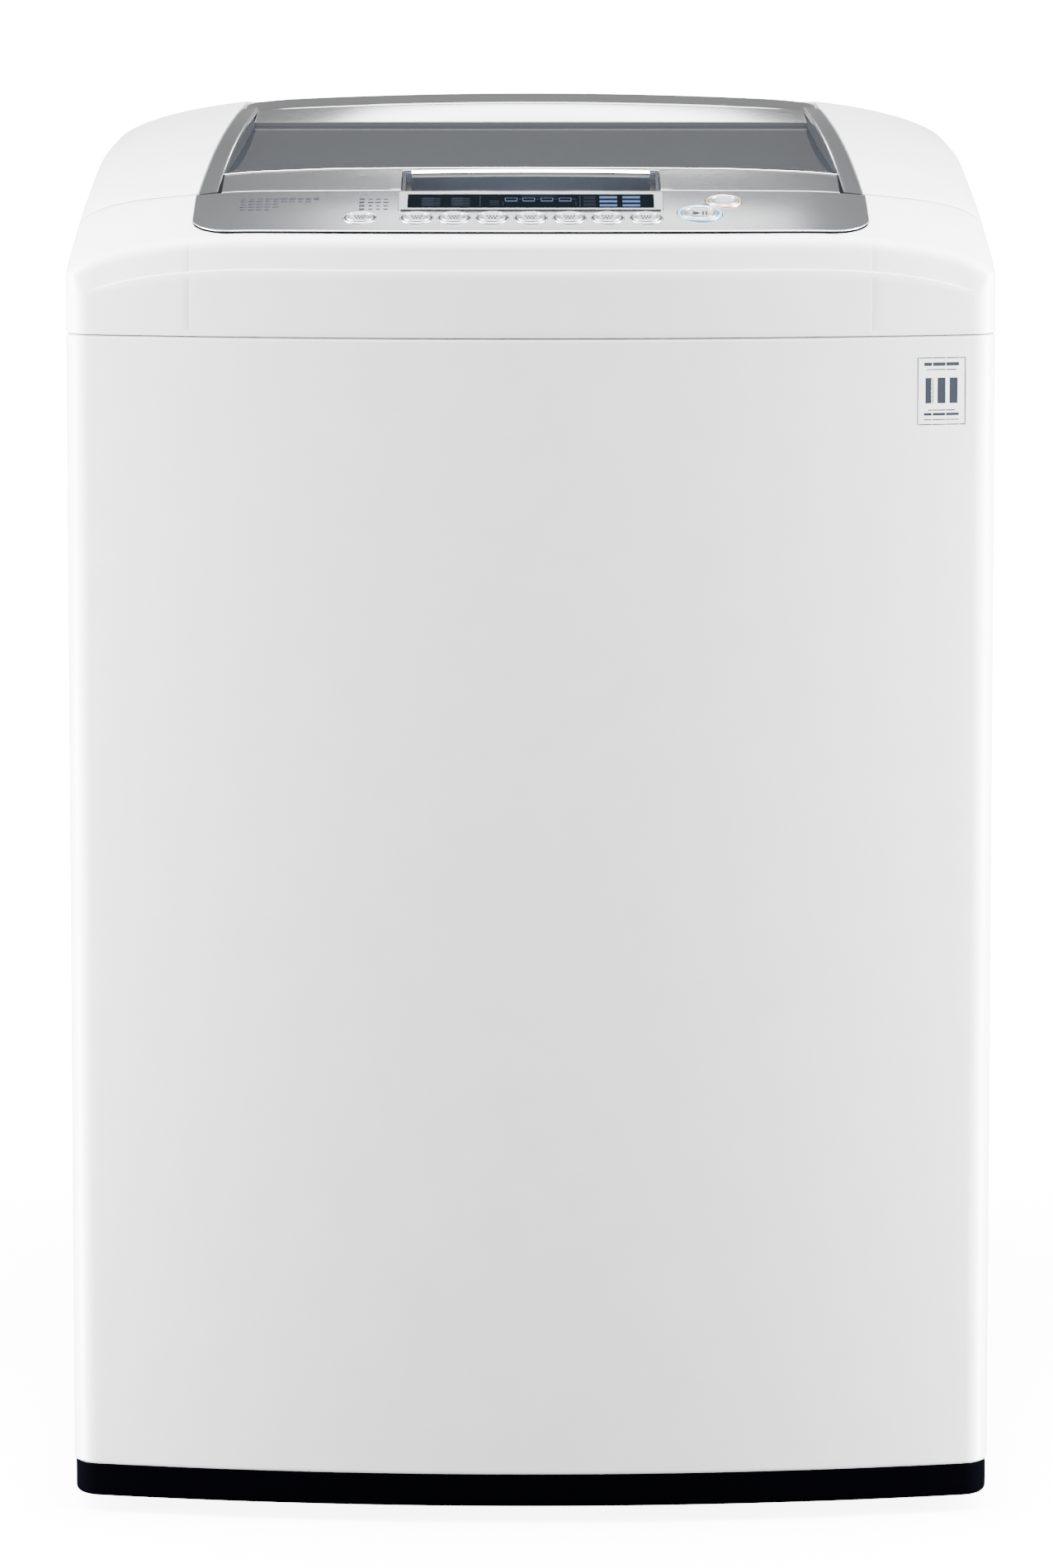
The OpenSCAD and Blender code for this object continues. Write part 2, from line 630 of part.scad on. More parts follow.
// Cast hub that carries both bearings and the motor
module bearing_housing() color(grey) difference() {
  union() {
    translate([0, 0, 150]) cylinder(r = 40, h = 82);
    translate([0, 0, 214]) cylinder(r = 60, h = 20);
    translate([0, 0, 218]) cylinder(r = 130, h = tub_z - 218.2);
    for (a = [0 : 60 : 300]) rotate([0, 0, a]) translate([34, -3, 184]) cube([88, 6, 36]);
  }
  translate([0, 0, 140]) cylinder(r = 17, h = 100);
  translate([0, 0, 149]) cylinder(r = 26.02, h = 21);
  translate([0, 0, 208]) cylinder(r = 26.02, h = 40);
}

module bearings() color(steel) {
  for (z = [155.9, 208.1]) translate([0, 0, z]) tube(26, spin_r + fit, 14);
  // Water seal above the upper bearing
  translate([0, 0, 222.2]) tube(26, spin_r + 0.08, 9);
}

module stator() color("#a0612c") {
  difference() {
    union() {
      translate([0, 0, 152]) cylinder(r = 92, h = 26);
      for (a = [0 : 15 : 345]) rotate([0, 0, a]) translate([80, -7, 154]) cube([30, 14, 22]);
    }
    translate([0, 0, 151]) cylinder(r = 72, h = 30);
    for (a = [0 : 60 : 300]) rotate([0, 0, a]) translate([60, -4, 150]) cube([14, 8, 30]);
  }
  // Three legs that hold the stator on the hub
  for (a = [30 : 120 : 270]) rotate([0, 0, a]) difference() {
    translate([39, -8, 168]) cube([40, 16, 9]);
    translate([0, 0, 160]) cylinder(r = 40.3, h = 30);
  }
}

// ---- Basket, wash plate and motor ----

module basket() color(steel) difference() {
  union() {
    translate([0, 0, 262]) cylinder(r = basket_r, h = 536, $fn = 144);
    translate([0, 0, 250]) cylinder(r = 48, h = 14);
    for (z = [420, 620]) translate([0, 0, z]) cylinder(r = basket_r + 1.5, h = 10, $fn = 144);
  }
  translate([0, 0, 264]) cylinder(r = basket_r - 1, h = 560, $fn = 144);
  translate([0, 0, 240]) cylinder(r = spin_r, h = 40);
}

module balance_ring() color("#d0d4d8") translate([0, 0, 798.2]) rotate_extrude($fn = 144) polygon([
  [basket_r - 34, 2], [basket_r - 30, 0], [basket_r + 2, 0], [basket_r + 4, 3],
  [basket_r + 4, 24], [basket_r, 30], [basket_r - 26, 32], [basket_r - 34, 26]]);

module spin_shaft() color(steel) difference() {
  union() {
    translate([0, 0, 118]) cylinder(r = spin_r, h = 146);
    translate([0, 0, 246]) cylinder(r = 30, h = 3.8);
  }
  translate([0, 0, 117]) cylinder(r = shaft_r + fit, h = 160);
}

module drive_shaft() color(steel) translate([0, 0, 96]) cylinder(r = shaft_r, h = 196);

// Low dome with six curved fins
module wash_plate() color("#cfd6dc") difference() {
  union() {
    rotate_extrude($fn = 96) polygon([
      [0, 270], [22, 270], [22, 290], [50, 294], [120, 284], [200, 278], [235, 278], [235, 270],
      [240, 270], [240, 284], [200, 284], [120, 290], [50, 300], [0, 302]]);
    for (a = [0 : 60 : 300]) rotate([0, 0, a]) translate([110, 0, 280]) intersection() {
      tube(96, 86, 30);
      translate([-100, 0, 0]) cube([200, 100, 30]);
      translate([-70, 0, -50]) rotate([0, 12, 0]) cube([180, 100, 60]);
    }
  }
  translate([0, 0, 260]) cylinder(r = shaft_r, h = 32);
}

module rotor() color(steel) difference() {
  union() {
    translate([0, 0, 108]) cylinder(r = 120, h = 74);
    translate([0, 0, 98]) cylinder(r = 22, h = 16);
  }
  translate([0, 0, 111]) cylinder(r = 114, h = 80);
  translate([0, 0, 90]) cylinder(r = shaft_r + 0.03, h = 40);
  for (a = [0 : 45 : 315]) rotate([0, 0, a]) translate([70, 0, 100]) cylinder(r = 16, h = 20);
}

// Splined ring that locks the basket to the motor when it drops
module clutch_coupler() color(dark) translate([0, 0, 121]) difference() {
  union() {
    cylinder(r = 22, h = 14);
    cylinder(r = 28, h = 4);
  }
  translate([0, 0, -1]) cylinder(r = spin_r + 0.08, h = 20);
  for (a = [0 : 30 : 330]) rotate([0, 0, a]) translate([25, -1.5, -1]) cube([5, 3, 3]);
}

// ---- Suspension, pump and connections ----

module suspension_rods() color(steel) at_rods() {
  difference() {
    translate([0, 0, rod_top + 4]) sphere(r = 10);
    translate([-20, -20, rod_top - 20]) cube([40, 40, 20.1]);
  }
  translate([0, 0, rod_low]) cylinder(r = 4.5, h = rod_top - rod_low + 2);
  translate([0, 0, rod_low]) cylinder(r = 17, h = 6);
}

module suspension_springs() color(grey) at_rods()
  rotate_extrude() polygon(concat([[9, lug_z + 0.6], [9, rod_low + 6.2]],
    [for (k = [0 : 12]) [k % 2 == 0 ? 11.5 : 15, rod_low + 6.2 + (lug_z - rod_low - 5.6) * k / 12]]));

module cord_gland() color(dark)
  translate([gland_at[0], back_y + 0.2 + sheet_t, gland_at[1]]) rotate([90, 0, 0]) difference() {
    union() {
      translate([0, 0, -6]) cylinder(r = 13, h = 6);
      translate([0, 0, -1]) cylinder(r = 9.8, h = 13);
    }
    translate([0, 0, -10]) cylinder(r = 4.2, h = 30);
  }

// Pipe from the pump to the drain spigot on the rear
module drain_pipe() color(dark) translate([pump_xy[0], y_rear, pump_z]) rotate([90, 0, 0])
  difference() {
    union() {
      cylinder(r = 16, h = 112);
      translate([0, 0, 20]) cylinder(r = 20, h = 4);
      translate([0, 0, 96]) cylinder(r = 20, h = 14);
    }
    translate([0, 0, -1]) cylinder(r = 12.5, h = 120);
  }

module pump_body() color("#3a3f46") translate([pump_xy[0], pump_xy[1], 0]) difference() {
  union() {
    translate([0, 0, 20.2]) cylinder(r = 30, h = 40);
    translate([0, 0, 58]) cylinder(r = 42, h = 52);
    translate([0, 0, 100]) cylinder(r = 17, h = 36);
    translate([0, 30, pump_z]) rotate([-90, 0, 0]) cylinder(r = 12, h = 28);
  }
  translate([0, 0, 66]) cylinder(r = 36, h = 36);
  translate([0, 0, 90]) cylinder(r = 14, h = 60);
  translate([0, 20, pump_z]) rotate([-90, 0, 0]) cylinder(r = 9, h = 60);
  translate([0, 0, 50]) cylinder(r = 4 + fit, h = 20);
}

module pump_impeller() color("#dddddd") translate([pump_xy[0], pump_xy[1], 0]) {
  translate([0, 0, 54]) cylinder(r = 4, h = 20);
  translate([0, 0, 69]) cylinder(r = 12, h = 20);
  for (a = [0 : 60 : 300]) rotate([0, 0, a]) translate([8, -1.5, 70]) cube([24, 3, 18]);
}

cabinet();
cabinet_braces();
rear_panel();
rear_screws();
base();
lock_nuts();
top_cover();
lid_well();
control_housing();
fascia();
display_bezel();
display_window();
button_rings();
control_board();
rear_trim();
hinge_brackets();
inlet_valves();
dispenser_housing();
lid_lock();
suspension_rods();
suspension_springs();
cord_gland();
drain_pipe();
pump_body();
lid_frame();
lid_front_cap();
handle_recess();
handle_bar();
lid_glass();
lid_liner();
hinge_pins();
button(button_x[0], button_e, button_d / 2);  // button_1
button(button_x[1], button_e, button_d / 2);  // button_2
button(button_x[2], button_e, button_d / 2);  // button_3
button(button_x[3], button_e, button_d / 2);  // button_4
button(button_x[4], button_e, button_d / 2);  // button_5
button(button_x[5], button_e, button_d / 2);  // button_6
button(button_x[6], button_e, button_d / 2);  // button_7
button(button_x[7], button_e, button_d / 2);  // button_8
button(power_x, power_e, button_d / 2 + 1);  // power_button
button(start_x, start_e, start_d / 2);  // start_button
tub();
tub_ring();
sump_bellows();
bearing_housing();
bearings();
stator();
basket();
balance_ring();
spin_shaft();
wash_plate();
drive_shaft();
rotor();
clutch_coupler();
foot(-foot_x, foot_y[0]);  // foot_front_left
foot(foot_x, foot_y[0]);  // foot_front_right
foot(-foot_x, foot_y[1]);  // foot_rear_left
foot(foot_x, foot_y[1]);  // foot_rear_right
dispenser_drawer();
pump_impeller();
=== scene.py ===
import json
import math
import random

import bmesh
import bpy
from mathutils import Matrix, Vector, geometry


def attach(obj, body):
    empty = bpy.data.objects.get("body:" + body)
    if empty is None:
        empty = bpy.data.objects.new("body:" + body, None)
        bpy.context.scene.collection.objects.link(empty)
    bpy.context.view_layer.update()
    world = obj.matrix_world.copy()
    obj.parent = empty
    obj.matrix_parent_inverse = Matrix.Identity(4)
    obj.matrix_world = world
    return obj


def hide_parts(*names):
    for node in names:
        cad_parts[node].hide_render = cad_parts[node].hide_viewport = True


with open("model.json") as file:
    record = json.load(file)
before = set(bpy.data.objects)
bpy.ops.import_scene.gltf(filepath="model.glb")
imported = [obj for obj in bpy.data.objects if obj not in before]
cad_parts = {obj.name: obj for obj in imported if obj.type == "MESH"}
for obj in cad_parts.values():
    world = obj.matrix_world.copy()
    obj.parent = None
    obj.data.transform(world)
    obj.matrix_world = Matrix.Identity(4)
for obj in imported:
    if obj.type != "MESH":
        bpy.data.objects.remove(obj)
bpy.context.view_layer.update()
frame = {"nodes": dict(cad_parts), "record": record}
MM = 0.001

# ---- The machine's own dimensions, in millimetres, as in the CAD part ----

HALF_WIDTH, FRONT, HEIGHT = 343.0, -360.0, 1026.0
BOW = 36
BOW_RADIUS = (HALF_WIDTH ** 2 + BOW ** 2) / (2 * BOW)
BOW_CENTRE = FRONT + BOW_RADIUS
CORNER = 22.0
CORNER_TILT = math.asin((HALF_WIDTH - CORNER) / (BOW_RADIUS - CORNER))
CORNER_Y = BOW_CENTRE - math.sqrt((BOW_RADIUS - CORNER) ** 2 - (HALF_WIDTH - CORNER) ** 2)
SEAM, BASE_TOP, BASE_BOTTOM = 887.0, 37.0, 12.0
SHOULDER, SIDE_EDGE, LID_FLARE = 200.0, 342.9, -252.0
COVER_BACK, BACK = 350.0, 346.0
LID_HALF, GLASS_HALF = 249.0, 234.0
LID_REAR, TRIM_FRONT, TRIM_REAR = 226.0, 238.5, 322.0
HINGE_Y, HINGE_Z = 222.0, 1012.0
PANEL_SLOPE, PANEL_CORNER = math.radians(15.2), 30.0
GLASS_SLOPE = math.radians(2.84)
GLASS_FRONT, GLASS_Y, GLASS_Z = -184.0, -19.0, 1001.8
# Places on the control panel are x and a depth behind the bowed front
BUTTON_X = (-126, -84, -56.5, -28.5, 0, 28.5, 56.5, 85)
BUTTON_E, START, POWER, DISPLAY_E = 46.0, (124.7, 54.6), (143.0, 81.0), 82.5
BUTTON_R, START_R, POWER_R = 10.5, 14.0, 11.5
START_RING, POWER_RING = (14.3, 16.5), (11.8, 13.3)
# The crease under the housing's front edge, then the lid's front cap and its handle
CREASE = 1.0
CAP_HALF, RAIL_INNER = 231.0, 234.4
POCKET_HALF, POCKET_BACK, POCKET_FLOOR = 96.0, -194.6, 969.0
BAR_HALF, BAR_Y, BAR_LIFT = 89.2, -200.0, 2.2


def bow_y(x):
    """The cabinet's bowed front face in plan."""
    return BOW_CENTRE - math.sqrt(BOW_RADIUS ** 2 - x * x)


def ease(t):
    """A smooth step from 0 to 1."""
    t = min(max(t, 0.0), 1.0)
    return t * t * (3 - 2 * t)


def arc_drop(radius, e):
    """How far a rounded edge of this radius falls at e inside the edge."""
    return 0.0 if e >= radius else radius - math.sqrt(radius ** 2 - (radius - max(e, 0.0)) ** 2)


def front_drop(e):
    """How far the top's front edge falls at e behind the front: a tight round, then a steep face."""
    turn, radius = math.radians(78), 9.0
    steep = 20 - radius * (1 - math.cos(turn))
    reach = steep / math.tan(turn)
    centre = reach + radius * math.sin(turn)
    if e >= centre:
        return 0.0
    if e <= reach:
        return 20 - steep * max(e, 0.0) / reach
    return radius - math.sqrt(radius ** 2 - (centre - e) ** 2)


def top_z(x, y, crease=0.0):
    """Height of the top surface: a crown that falls to the front, with rounded shoulders and edges."""
    fall = 40 - 9 * ease((y + 64) / 220) - 7 * (1 - ease((y + 300) / 120))
    s = (abs(x) - SHOULDER) / (HALF_WIDTH - SHOULDER)
    shoulder = 0.0 if s <= 0 else fall * (1 - math.sqrt(max(0.0, 1 - s * s)))
    crown = HEIGHT - 63 * max(0.0, 1 - (y - FRONT - 16) / 640) ** 3.3 - 7 * (x / 254) ** 2
    return crown - shoulder - front_drop(y - bow_y(x) - crease) - arc_drop(24, COVER_BACK - y)


def outline_y(x):
    """Front edge of the cabinet in plan, with its rounded corners."""
    if abs(x) <= HALF_WIDTH - CORNER + CORNER * math.sin(CORNER_TILT):
        return bow_y(x)
    return CORNER_Y - math.sqrt(max(0.0, CORNER ** 2 - (abs(x) - HALF_WIDTH + CORNER) ** 2))


def seam_y(x):
    """The seam between the control housing and the top cover."""
    inner = 252
    return -232 + 58 * (max(abs(x) - inner, 0.0) / (HALF_WIDTH - inner)) ** 1.5


def taper(y):
    """How much the lid's opening narrows on each side towards its rear."""
    t = min(max(y - LID_FLARE, 0.0) / (TRIM_REAR - LID_FLARE), 1.0)
    return 14 * (1 - (1 - t) ** 1.8)


def ridge_z(x, y):
    """Height of the trim behind the lid, which rises a little towards its rear edge."""
    return top_z(x, y) - 2.5 * min(max((TRIM_REAR - 6 - y) / 80, 0.0), 1.0)


def panel_front(x):
    """The control panel's front edge, with its rounded corners."""
    a = min(max(abs(x) - 220, 0.0), PANEL_CORNER - 0.1)
    return bow_y(x) + 16 + PANEL_CORNER - math.sqrt(PANEL_CORNER ** 2 - a * a)


def lid_front(x):
    """The lid's front edge."""
    return bow_y(x) + 108


def cap_rear(x):
    """The edge of the lid's front cap towards the glass."""
    return min(bow_y(x) + 168, GLASS_FRONT - 1.5)


def on_panel(x, e):
    """The place on the control panel at x and at depth e behind the front face."""
    y = bow_y(x) + e
    return Matrix.Translation((x, y, top_z(x, y))) @ Matrix.Rotation(PANEL_SLOPE, 4, "X")


def on_glass():
    """The plane of the lid's glass, with its origin at the glass's middle."""
    return Matrix.Translation((0, GLASS_Y, GLASS_Z)) @ Matrix.Rotation(GLASS_SLOPE, 4, "X")


def glass_z(y):
    """Height of the glass's upper face."""
    return GLASS_Z + (y - GLASS_Y) * math.tan(GLASS_SLOPE)


def spread(a, b, n):
    """Both ends and the even steps between them."""
    return [a + (b - a) * i / n for i in range(n + 1)]


def mirrored(half):
    """Columns over the whole width from the positive half's."""
    return [-x for x in reversed(half) if x > 0] + list(half)


# ---- Materials ----

def material(name, colour, rough, metal=0.0, mottle=0.02, scale=30.0, bump=0.0, grain=900.0, coat=0.0,
             spec=0.5, rough_vary=0.04):
    """A surface whose tint and gloss vary a little, with an optional fine grain."""
    mat = bpy.data.materials.new(name)
    mat.use_nodes = True
    nodes, links = mat.node_tree.nodes, mat.node_tree.links
    shader = nodes["Principled BSDF"]
    shader.inputs["Metallic"].default_value = metal
    shader.inputs["Coat Weight"].default_value = coat
    shader.inputs["Coat Roughness"].default_value = 0.06
    shader.inputs["Specular IOR Level"].default_value = spec
    place = nodes.new("ShaderNodeTexCoord")
    noise = nodes.new("ShaderNodeTexNoise")
    noise.inputs["Scale"].default_value = scale
    noise.inputs["Detail"].default_value = 4
    links.new(place.outputs["Object"], noise.inputs["Vector"])
    ramp = nodes.new("ShaderNodeValToRGB")
    for stop, at, gain in zip(ramp.color_ramp.elements, (0.3, 0.7), (1 - mottle, 1 + mottle)):
        stop.position = at
        stop.color = [min(1.0, c * gain) for c in colour] + [1]
    links.new(noise.outputs["Fac"], ramp.inputs["Fac"])
    links.new(ramp.outputs["Color"], shader.inputs["Base Color"])
    gloss = nodes.new("ShaderNodeMapRange")
    gloss.inputs["To Min"].default_value = max(0.0, rough - rough_vary)
    gloss.inputs["To Max"].default_value = rough + rough_vary
    links.new(noise.outputs["Fac"], gloss.inputs["Value"])
    links.new(gloss.outputs["Result"], shader.inputs["Roughness"])
    if bump:
        fine = nodes.new("ShaderNodeTexNoise")
        fine.inputs["Scale"].default_value = grain
        fine.inputs["Detail"].default_value = 2
        links.new(place.outputs["Object"], fine.inputs["Vector"])
        bumps = nodes.new("ShaderNodeBump")
        bumps.inputs["Strength"].default_value = bump
        bumps.inputs["Distance"].default_value = 0.0002
        links.new(fine.outputs["Fac"], bumps.inputs["Height"])
        links.new(bumps.outputs["Normal"], shader.inputs["Normal"])
    return mat


def flecked(name, colour, rough, metal):
    """Silver paint with fine metal flakes in it."""
    mat = material(name, colour, rough, metal, mottle=0.015, scale=14, rough_vary=0.015)
    nodes, links = mat.node_tree.nodes, mat.node_tree.links
    shader = nodes["Principled BSDF"]
    base = shader.inputs["Base Color"].links[0].from_socket
    flakes = nodes.new("ShaderNodeTexNoise")
    flakes.inputs["Scale"].default_value = 3200
    place = [n for n in nodes if n.type == "TEX_COORD"][0]
    links.new(place.outputs["Object"], flakes.inputs["Vector"])
    mix = nodes.new("ShaderNodeMix")
    mix.data_type, mix.blend_type = "RGBA", "MULTIPLY"
    mix.inputs["Factor"].default_value = 0.08
    links.new(base, mix.inputs["A"])
    links.new(flakes.outputs["Color"], mix.inputs["B"])
    paler = nodes.new("ShaderNodeHueSaturation")
    paler.inputs["Saturation"].default_value = 0.35
    links.new(mix.outputs["Result"], paler.inputs["Color"])
    links.new(paler.outputs["Color"], shader.inputs["Base Color"])
    return mat


def glowing(name, colour, strength):
    """A dark mark that gives off a little light."""
    mat = material(name, tuple(0.1 * c for c in colour), 0.3, spec=0.0)
    shader = mat.node_tree.nodes["Principled BSDF"]
    shader.inputs["Emission Color"].default_value = (*colour, 1)
    shader.inputs["Emission Strength"].default_value = strength
    return mat


def tinted(name, colour, alpha):
    """Smoked glass that lets a little of the inside show."""
    mat = material(name, colour, 0.05, mottle=0.03, scale=6, spec=0.5, rough_vary=0.015)
    shader = mat.node_tree.nodes["Principled BSDF"]
    shader.inputs["Alpha"].default_value = alpha
    return mat


def make_materials():
    """All materials by slot, then the ones that only scene pieces use."""
    m = {}
    m["cabinet_paint"] = material("enamel", (0.80, 0.805, 0.815), 0.30, coat=0.35, bump=0.03, grain=420)
    m["white_plastic"] = material("white_plastic", (0.86, 0.865, 0.87), 0.3, coat=0.2)
    m["silver_plastic"] = flecked("silver_paint", (0.238, 0.258, 0.295), 0.185, 0.95)
    m["trim_silver"] = flecked("trim_silver", (0.27, 0.29, 0.33), 0.08, 0.95)
    m["button_plastic"] = flecked("button_paint", (0.42, 0.44, 0.47), 0.27, 0.9)
    m["ring_gold"] = material("champagne_ring", (0.78, 0.62, 0.40), 0.25, metal=0.8)
    m["ring_blue"] = material("blue_ring", (0.25, 0.48, 0.72), 0.3, metal=0.4)
    m["chrome_trim"] = material("chrome", (0.82, 0.83, 0.85), 0.08, metal=1.0, mottle=0.01, rough_vary=0.02)
    m["tinted_glass"] = tinted("smoked_glass", (0.012, 0.014, 0.018), 0.95)
    m["display_black"] = material("display_window", (0.002, 0.003, 0.004), 0.32, rough_vary=0.02, spec=0.0)
    m["slate_plastic"] = material("slate_plastic", (0.11, 0.122, 0.148), 0.45, bump=0.05, spec=0.2)
    m["black_plastic"] = material("black_plastic", (0.0008, 0.0008, 0.0014), 0.6, spec=0.0, bump=0.05)
    # Black for the glass's seal, and also painted shadow along the panel's front edge, in the cap's slots and
    # in the handle's groove
    m["black_rubber"] = material("dark_seal_and_painted_shadow", (0.006, 0.006, 0.007), 0.7, spec=0.0, bump=0.15)
    m["zinc_steel"] = material("zinc_steel", (0.56, 0.57, 0.58), 0.38, metal=1.0, mottle=0.06)
    m["stainless"] = material("stainless", (0.60, 0.60, 0.61), 0.26, metal=1.0, mottle=0.03)
    m["cast_alloy"] = material("cast_alloy", (0.42, 0.43, 0.44), 0.55, metal=0.9, bump=0.3)
    m["windings"] = material("windings", (0.50, 0.22, 0.08), 0.4, metal=0.6, bump=0.3)
    m["tub_plastic"] = material("tub_plastic", (0.66, 0.68, 0.70), 0.45, bump=0.1)
    m["drawer_plastic"] = material("drawer_plastic", (0.62, 0.70, 0.78), 0.35)
    m["circuit_green"] = material("circuit_board", (0.04, 0.18, 0.08), 0.5, mottle=0.2)
    m["lit_blue"] = glowing("lit_blue", (0.24, 0.40, 0.80), 0.2)
    m["lit_white"] = glowing("lit_white", (0.50, 0.68, 1.0), 0.4)
    m["lit_dim"] = glowing("lit_dim", (0.10, 0.12, 0.16), 0.12)
    # Flat dark grey that paints shade into seams, gaps and shaded walls
    m["painted_shade_grey"] = material("painted_shade_grey", (0.03, 0.032, 0.035), 0.6, spec=0.0)
    m["ink"] = material("ink", (0.03, 0.035, 0.045), 0.5, spec=0.0)
    m["label_white"] = material("label_film", (0.80, 0.80, 0.80), 0.35)
    m["floor"] = material("pale_floor", (0.86, 0.86, 0.86), 0.8, spec=0.1)
    return m


MAT = make_materials()


# ---- Building pieces ----

class Shape:
    """Collects points and faces, in millimetres, for one piece."""

    def __init__(self):
        self.points, self.faces = [], []

    def add(self, points, faces, at=None):
        """Adds points and the faces between them, moved by a matrix if one is given."""
        first = len(self.points)
        self.points += [(at @ Vector(p)) if at else Vector(p) for p in points]
        self.faces += [[first + i for i in f] for f in faces]
        return self

    def box(self, lo, hi, at=None):
        """A block between two opposite corners."""
        points = [(x, y, z) for x in (lo[0], hi[0]) for y in (lo[1], hi[1]) for z in (lo[2], hi[2])]
        return self.add(points, [(0, 1, 3, 2), (4, 6, 7, 5), (0, 4, 5, 1), (2, 3, 7, 6), (0, 2, 6, 4),
                                 (1, 5, 7, 3)], at)

    def rows(self, grid, closed=False, at=None):
        """A surface through rows of points."""
        n, m = len(grid), len(grid[0])
        faces = [(i * m + j, i * m + (j + 1) % m, (i + 1) % n * m + (j + 1) % m, (i + 1) % n * m + j)
                 for i in range(n - 1) for j in range(m if closed else m - 1)]
        return self.add([p for row in grid for p in row], faces, at)

    def bar(self, sections):
        """A solid through closed sections, each of which ends on its first point."""
        self.rows(sections)
        for section in (sections[0], sections[-1]):
            self.add(section[:-1], [tuple(range(len(section) - 1))])
        return self

    def lathe(self, profile, at=None, steps=72):
        """The profile of (radius, height) pairs turned about Z."""
        turns = [2 * math.pi * k / steps for k in range(steps)]
        grid = [[(max(r, 1e-4) * math.cos(a), max(r, 1e-4) * math.sin(a), z) for a in turns]
                for r, z in profile]
        return self.rows(grid, True, at)

    def slab(self, loops, height, bottom, spacing=14.0, at=None):
        """A plate between two surfaces over a plan with holes. The first loop is its outer edge."""
        points, edges = [], []
        for loop in loops:
            first = len(points)
            points += [Vector(p) for p in loop]
            edges += [(first + i, first + (i + 1) % len(loop)) for i in range(len(loop))]
        rim = list(points)
        for x in grid_lines([p.x for p in rim], spacing):
            for y in grid_lines([p.y for p in rim], spacing):
                apart = all((p.x - x) ** 2 + (p.y - y) ** 2 > (spacing / 3) ** 2 for p in rim)
                if apart and inside(loops, x, y):
                    points.append(Vector((x, y)))
        plan, _, triangles, *_ = geometry.delaunay_2d_cdt(points, edges, [], 0, 1e-5)
        kept = [t for t in triangles
                if inside(loops, sum(plan[i].x for i in t) / 3, sum(plan[i].y for i in t) / 3)]
        n = len(plan)
        solid = [(p.x, p.y, height(p.x, p.y)) for p in plan] + [bottom(p.x, p.y) for p in plan]
        count = {}
        for t in kept:
            for a, b in zip(t, (*t[1:], t[0])):
                count[(a, b)] = count.get((a, b), 0) + 1
        walls = [(b, a, a + n, b + n) for a, b in count if (b, a) not in count]
        return self.add(solid, kept + [tuple(i + n for i in reversed(t)) for t in kept] + walls, at)

    def piece(self, name, body, slot, mat=None, bevel=0.0, sharp=35, replaces=()):
        """Turns the shape into a piece that rides on a body and stands for the CAD nodes it replaces."""
        mesh = bpy.data.meshes.new(name)
        mesh.from_pydata([p * MM for p in self.points], [], self.faces)
        work = bmesh.new()
        work.from_mesh(mesh)
        bmesh.ops.remove_doubles(work, verts=work.verts, dist=2e-7)
        bmesh.ops.recalc_face_normals(work, faces=work.faces)
        loose = [v for v in work.verts if not v.link_faces]
        bmesh.ops.delete(work, geom=loose, context="VERTS")
        work.to_mesh(mesh)
        work.free()
        mesh.shade_smooth()
        mesh.materials.append(MAT[mat or slot])
        obj = new_object(name, mesh)
        if bevel:
            round_edges(obj, bevel, sharp)
            even = obj.modifiers.new("even_shading", "WEIGHTED_NORMAL")
            even.keep_sharp = True
        else:
            mesh.set_sharp_from_angle(angle=math.radians(sharp))
        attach(obj, body)
        if replaces:
            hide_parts(*replaces)
        return obj


def new_object(name, data):
    """Puts new data in the scene."""
    obj = bpy.data.objects.new(name, data)
    bpy.context.scene.collection.objects.link(obj)
    return obj


def round_edges(obj, width, angle):
    """Rounds the edges that are sharper than an angle in degrees."""
    edge = obj.modifiers.new("rounded_edges", "BEVEL")
    edge.width, edge.segments, edge.limit_method = width * MM, 3, "ANGLE"
    edge.angle_limit = math.radians(angle)


def thicken(obj, thickness, bevel=0.5):
    """Gives a sheet its wall, inwards, and rounds its edges."""
    solid = obj.modifiers.new("wall", "SOLIDIFY")
    solid.thickness, solid.offset = thickness * MM, -1
    solid.use_even_offset = False
    round_edges(obj, bevel, 50)


def grid_lines(values, spacing):
    """Even steps inside the range of some values, about a spacing apart."""
    low, high = min(values), max(values)
    return spread(low, high, max(2, int((high - low) / spacing)))[1:-1]


def inside(loops, x, y):
    """Whether a place in plan is inside the first loop and outside its holes."""
    odd = False
    for loop in loops:
        for (x0, y0), (x1, y1) in zip(loop, [*loop[1:], loop[0]]):
            if (y0 > y) != (y1 > y) and x < x0 + (x1 - x0) * (y - y0) / (y1 - y0):
                odd = not odd
    return odd


def circle(cx, cy, r, steps=48, squash=1.0):
    """A round outline, shortened from front to rear by squash."""
    return [(cx + r * math.cos(2 * math.pi * k / steps), cy + squash * r * math.sin(2 * math.pi * k / steps))
            for k in range(steps)]


def rounded_rect(w, h, r, steps=6):
    """A rectangle of half sizes w and h with rounded corners."""
    out = []
    for k, (sx, sy) in enumerate(((1, 1), (-1, 1), (-1, -1), (1, -1))):
        for a in spread(k * math.pi / 2, (k + 1) * math.pi / 2, steps):
            out.append((sx * (w - r) + r * math.cos(a), sy * (h - r) + r * math.sin(a)))
    return out


def strip_loop(xs, y0, y1):
    """Outline of a strip between two curves."""
    return [(x, y0(x)) for x in xs] + [(x, y1(x)) for x in reversed(xs)]


def below(depth, lean=0.0):
    """Points a depth under the top surface, moved back by lean."""
    return lambda x, y: (x, y + lean, top_z(x, y) - depth)


def flat(z):
    """The height of a level face."""
    return lambda x, y: z


def level(z):
    """Points on a level face."""
    return lambda x, y: (x, y, z)


# ---- Cabinet, base and rear ----

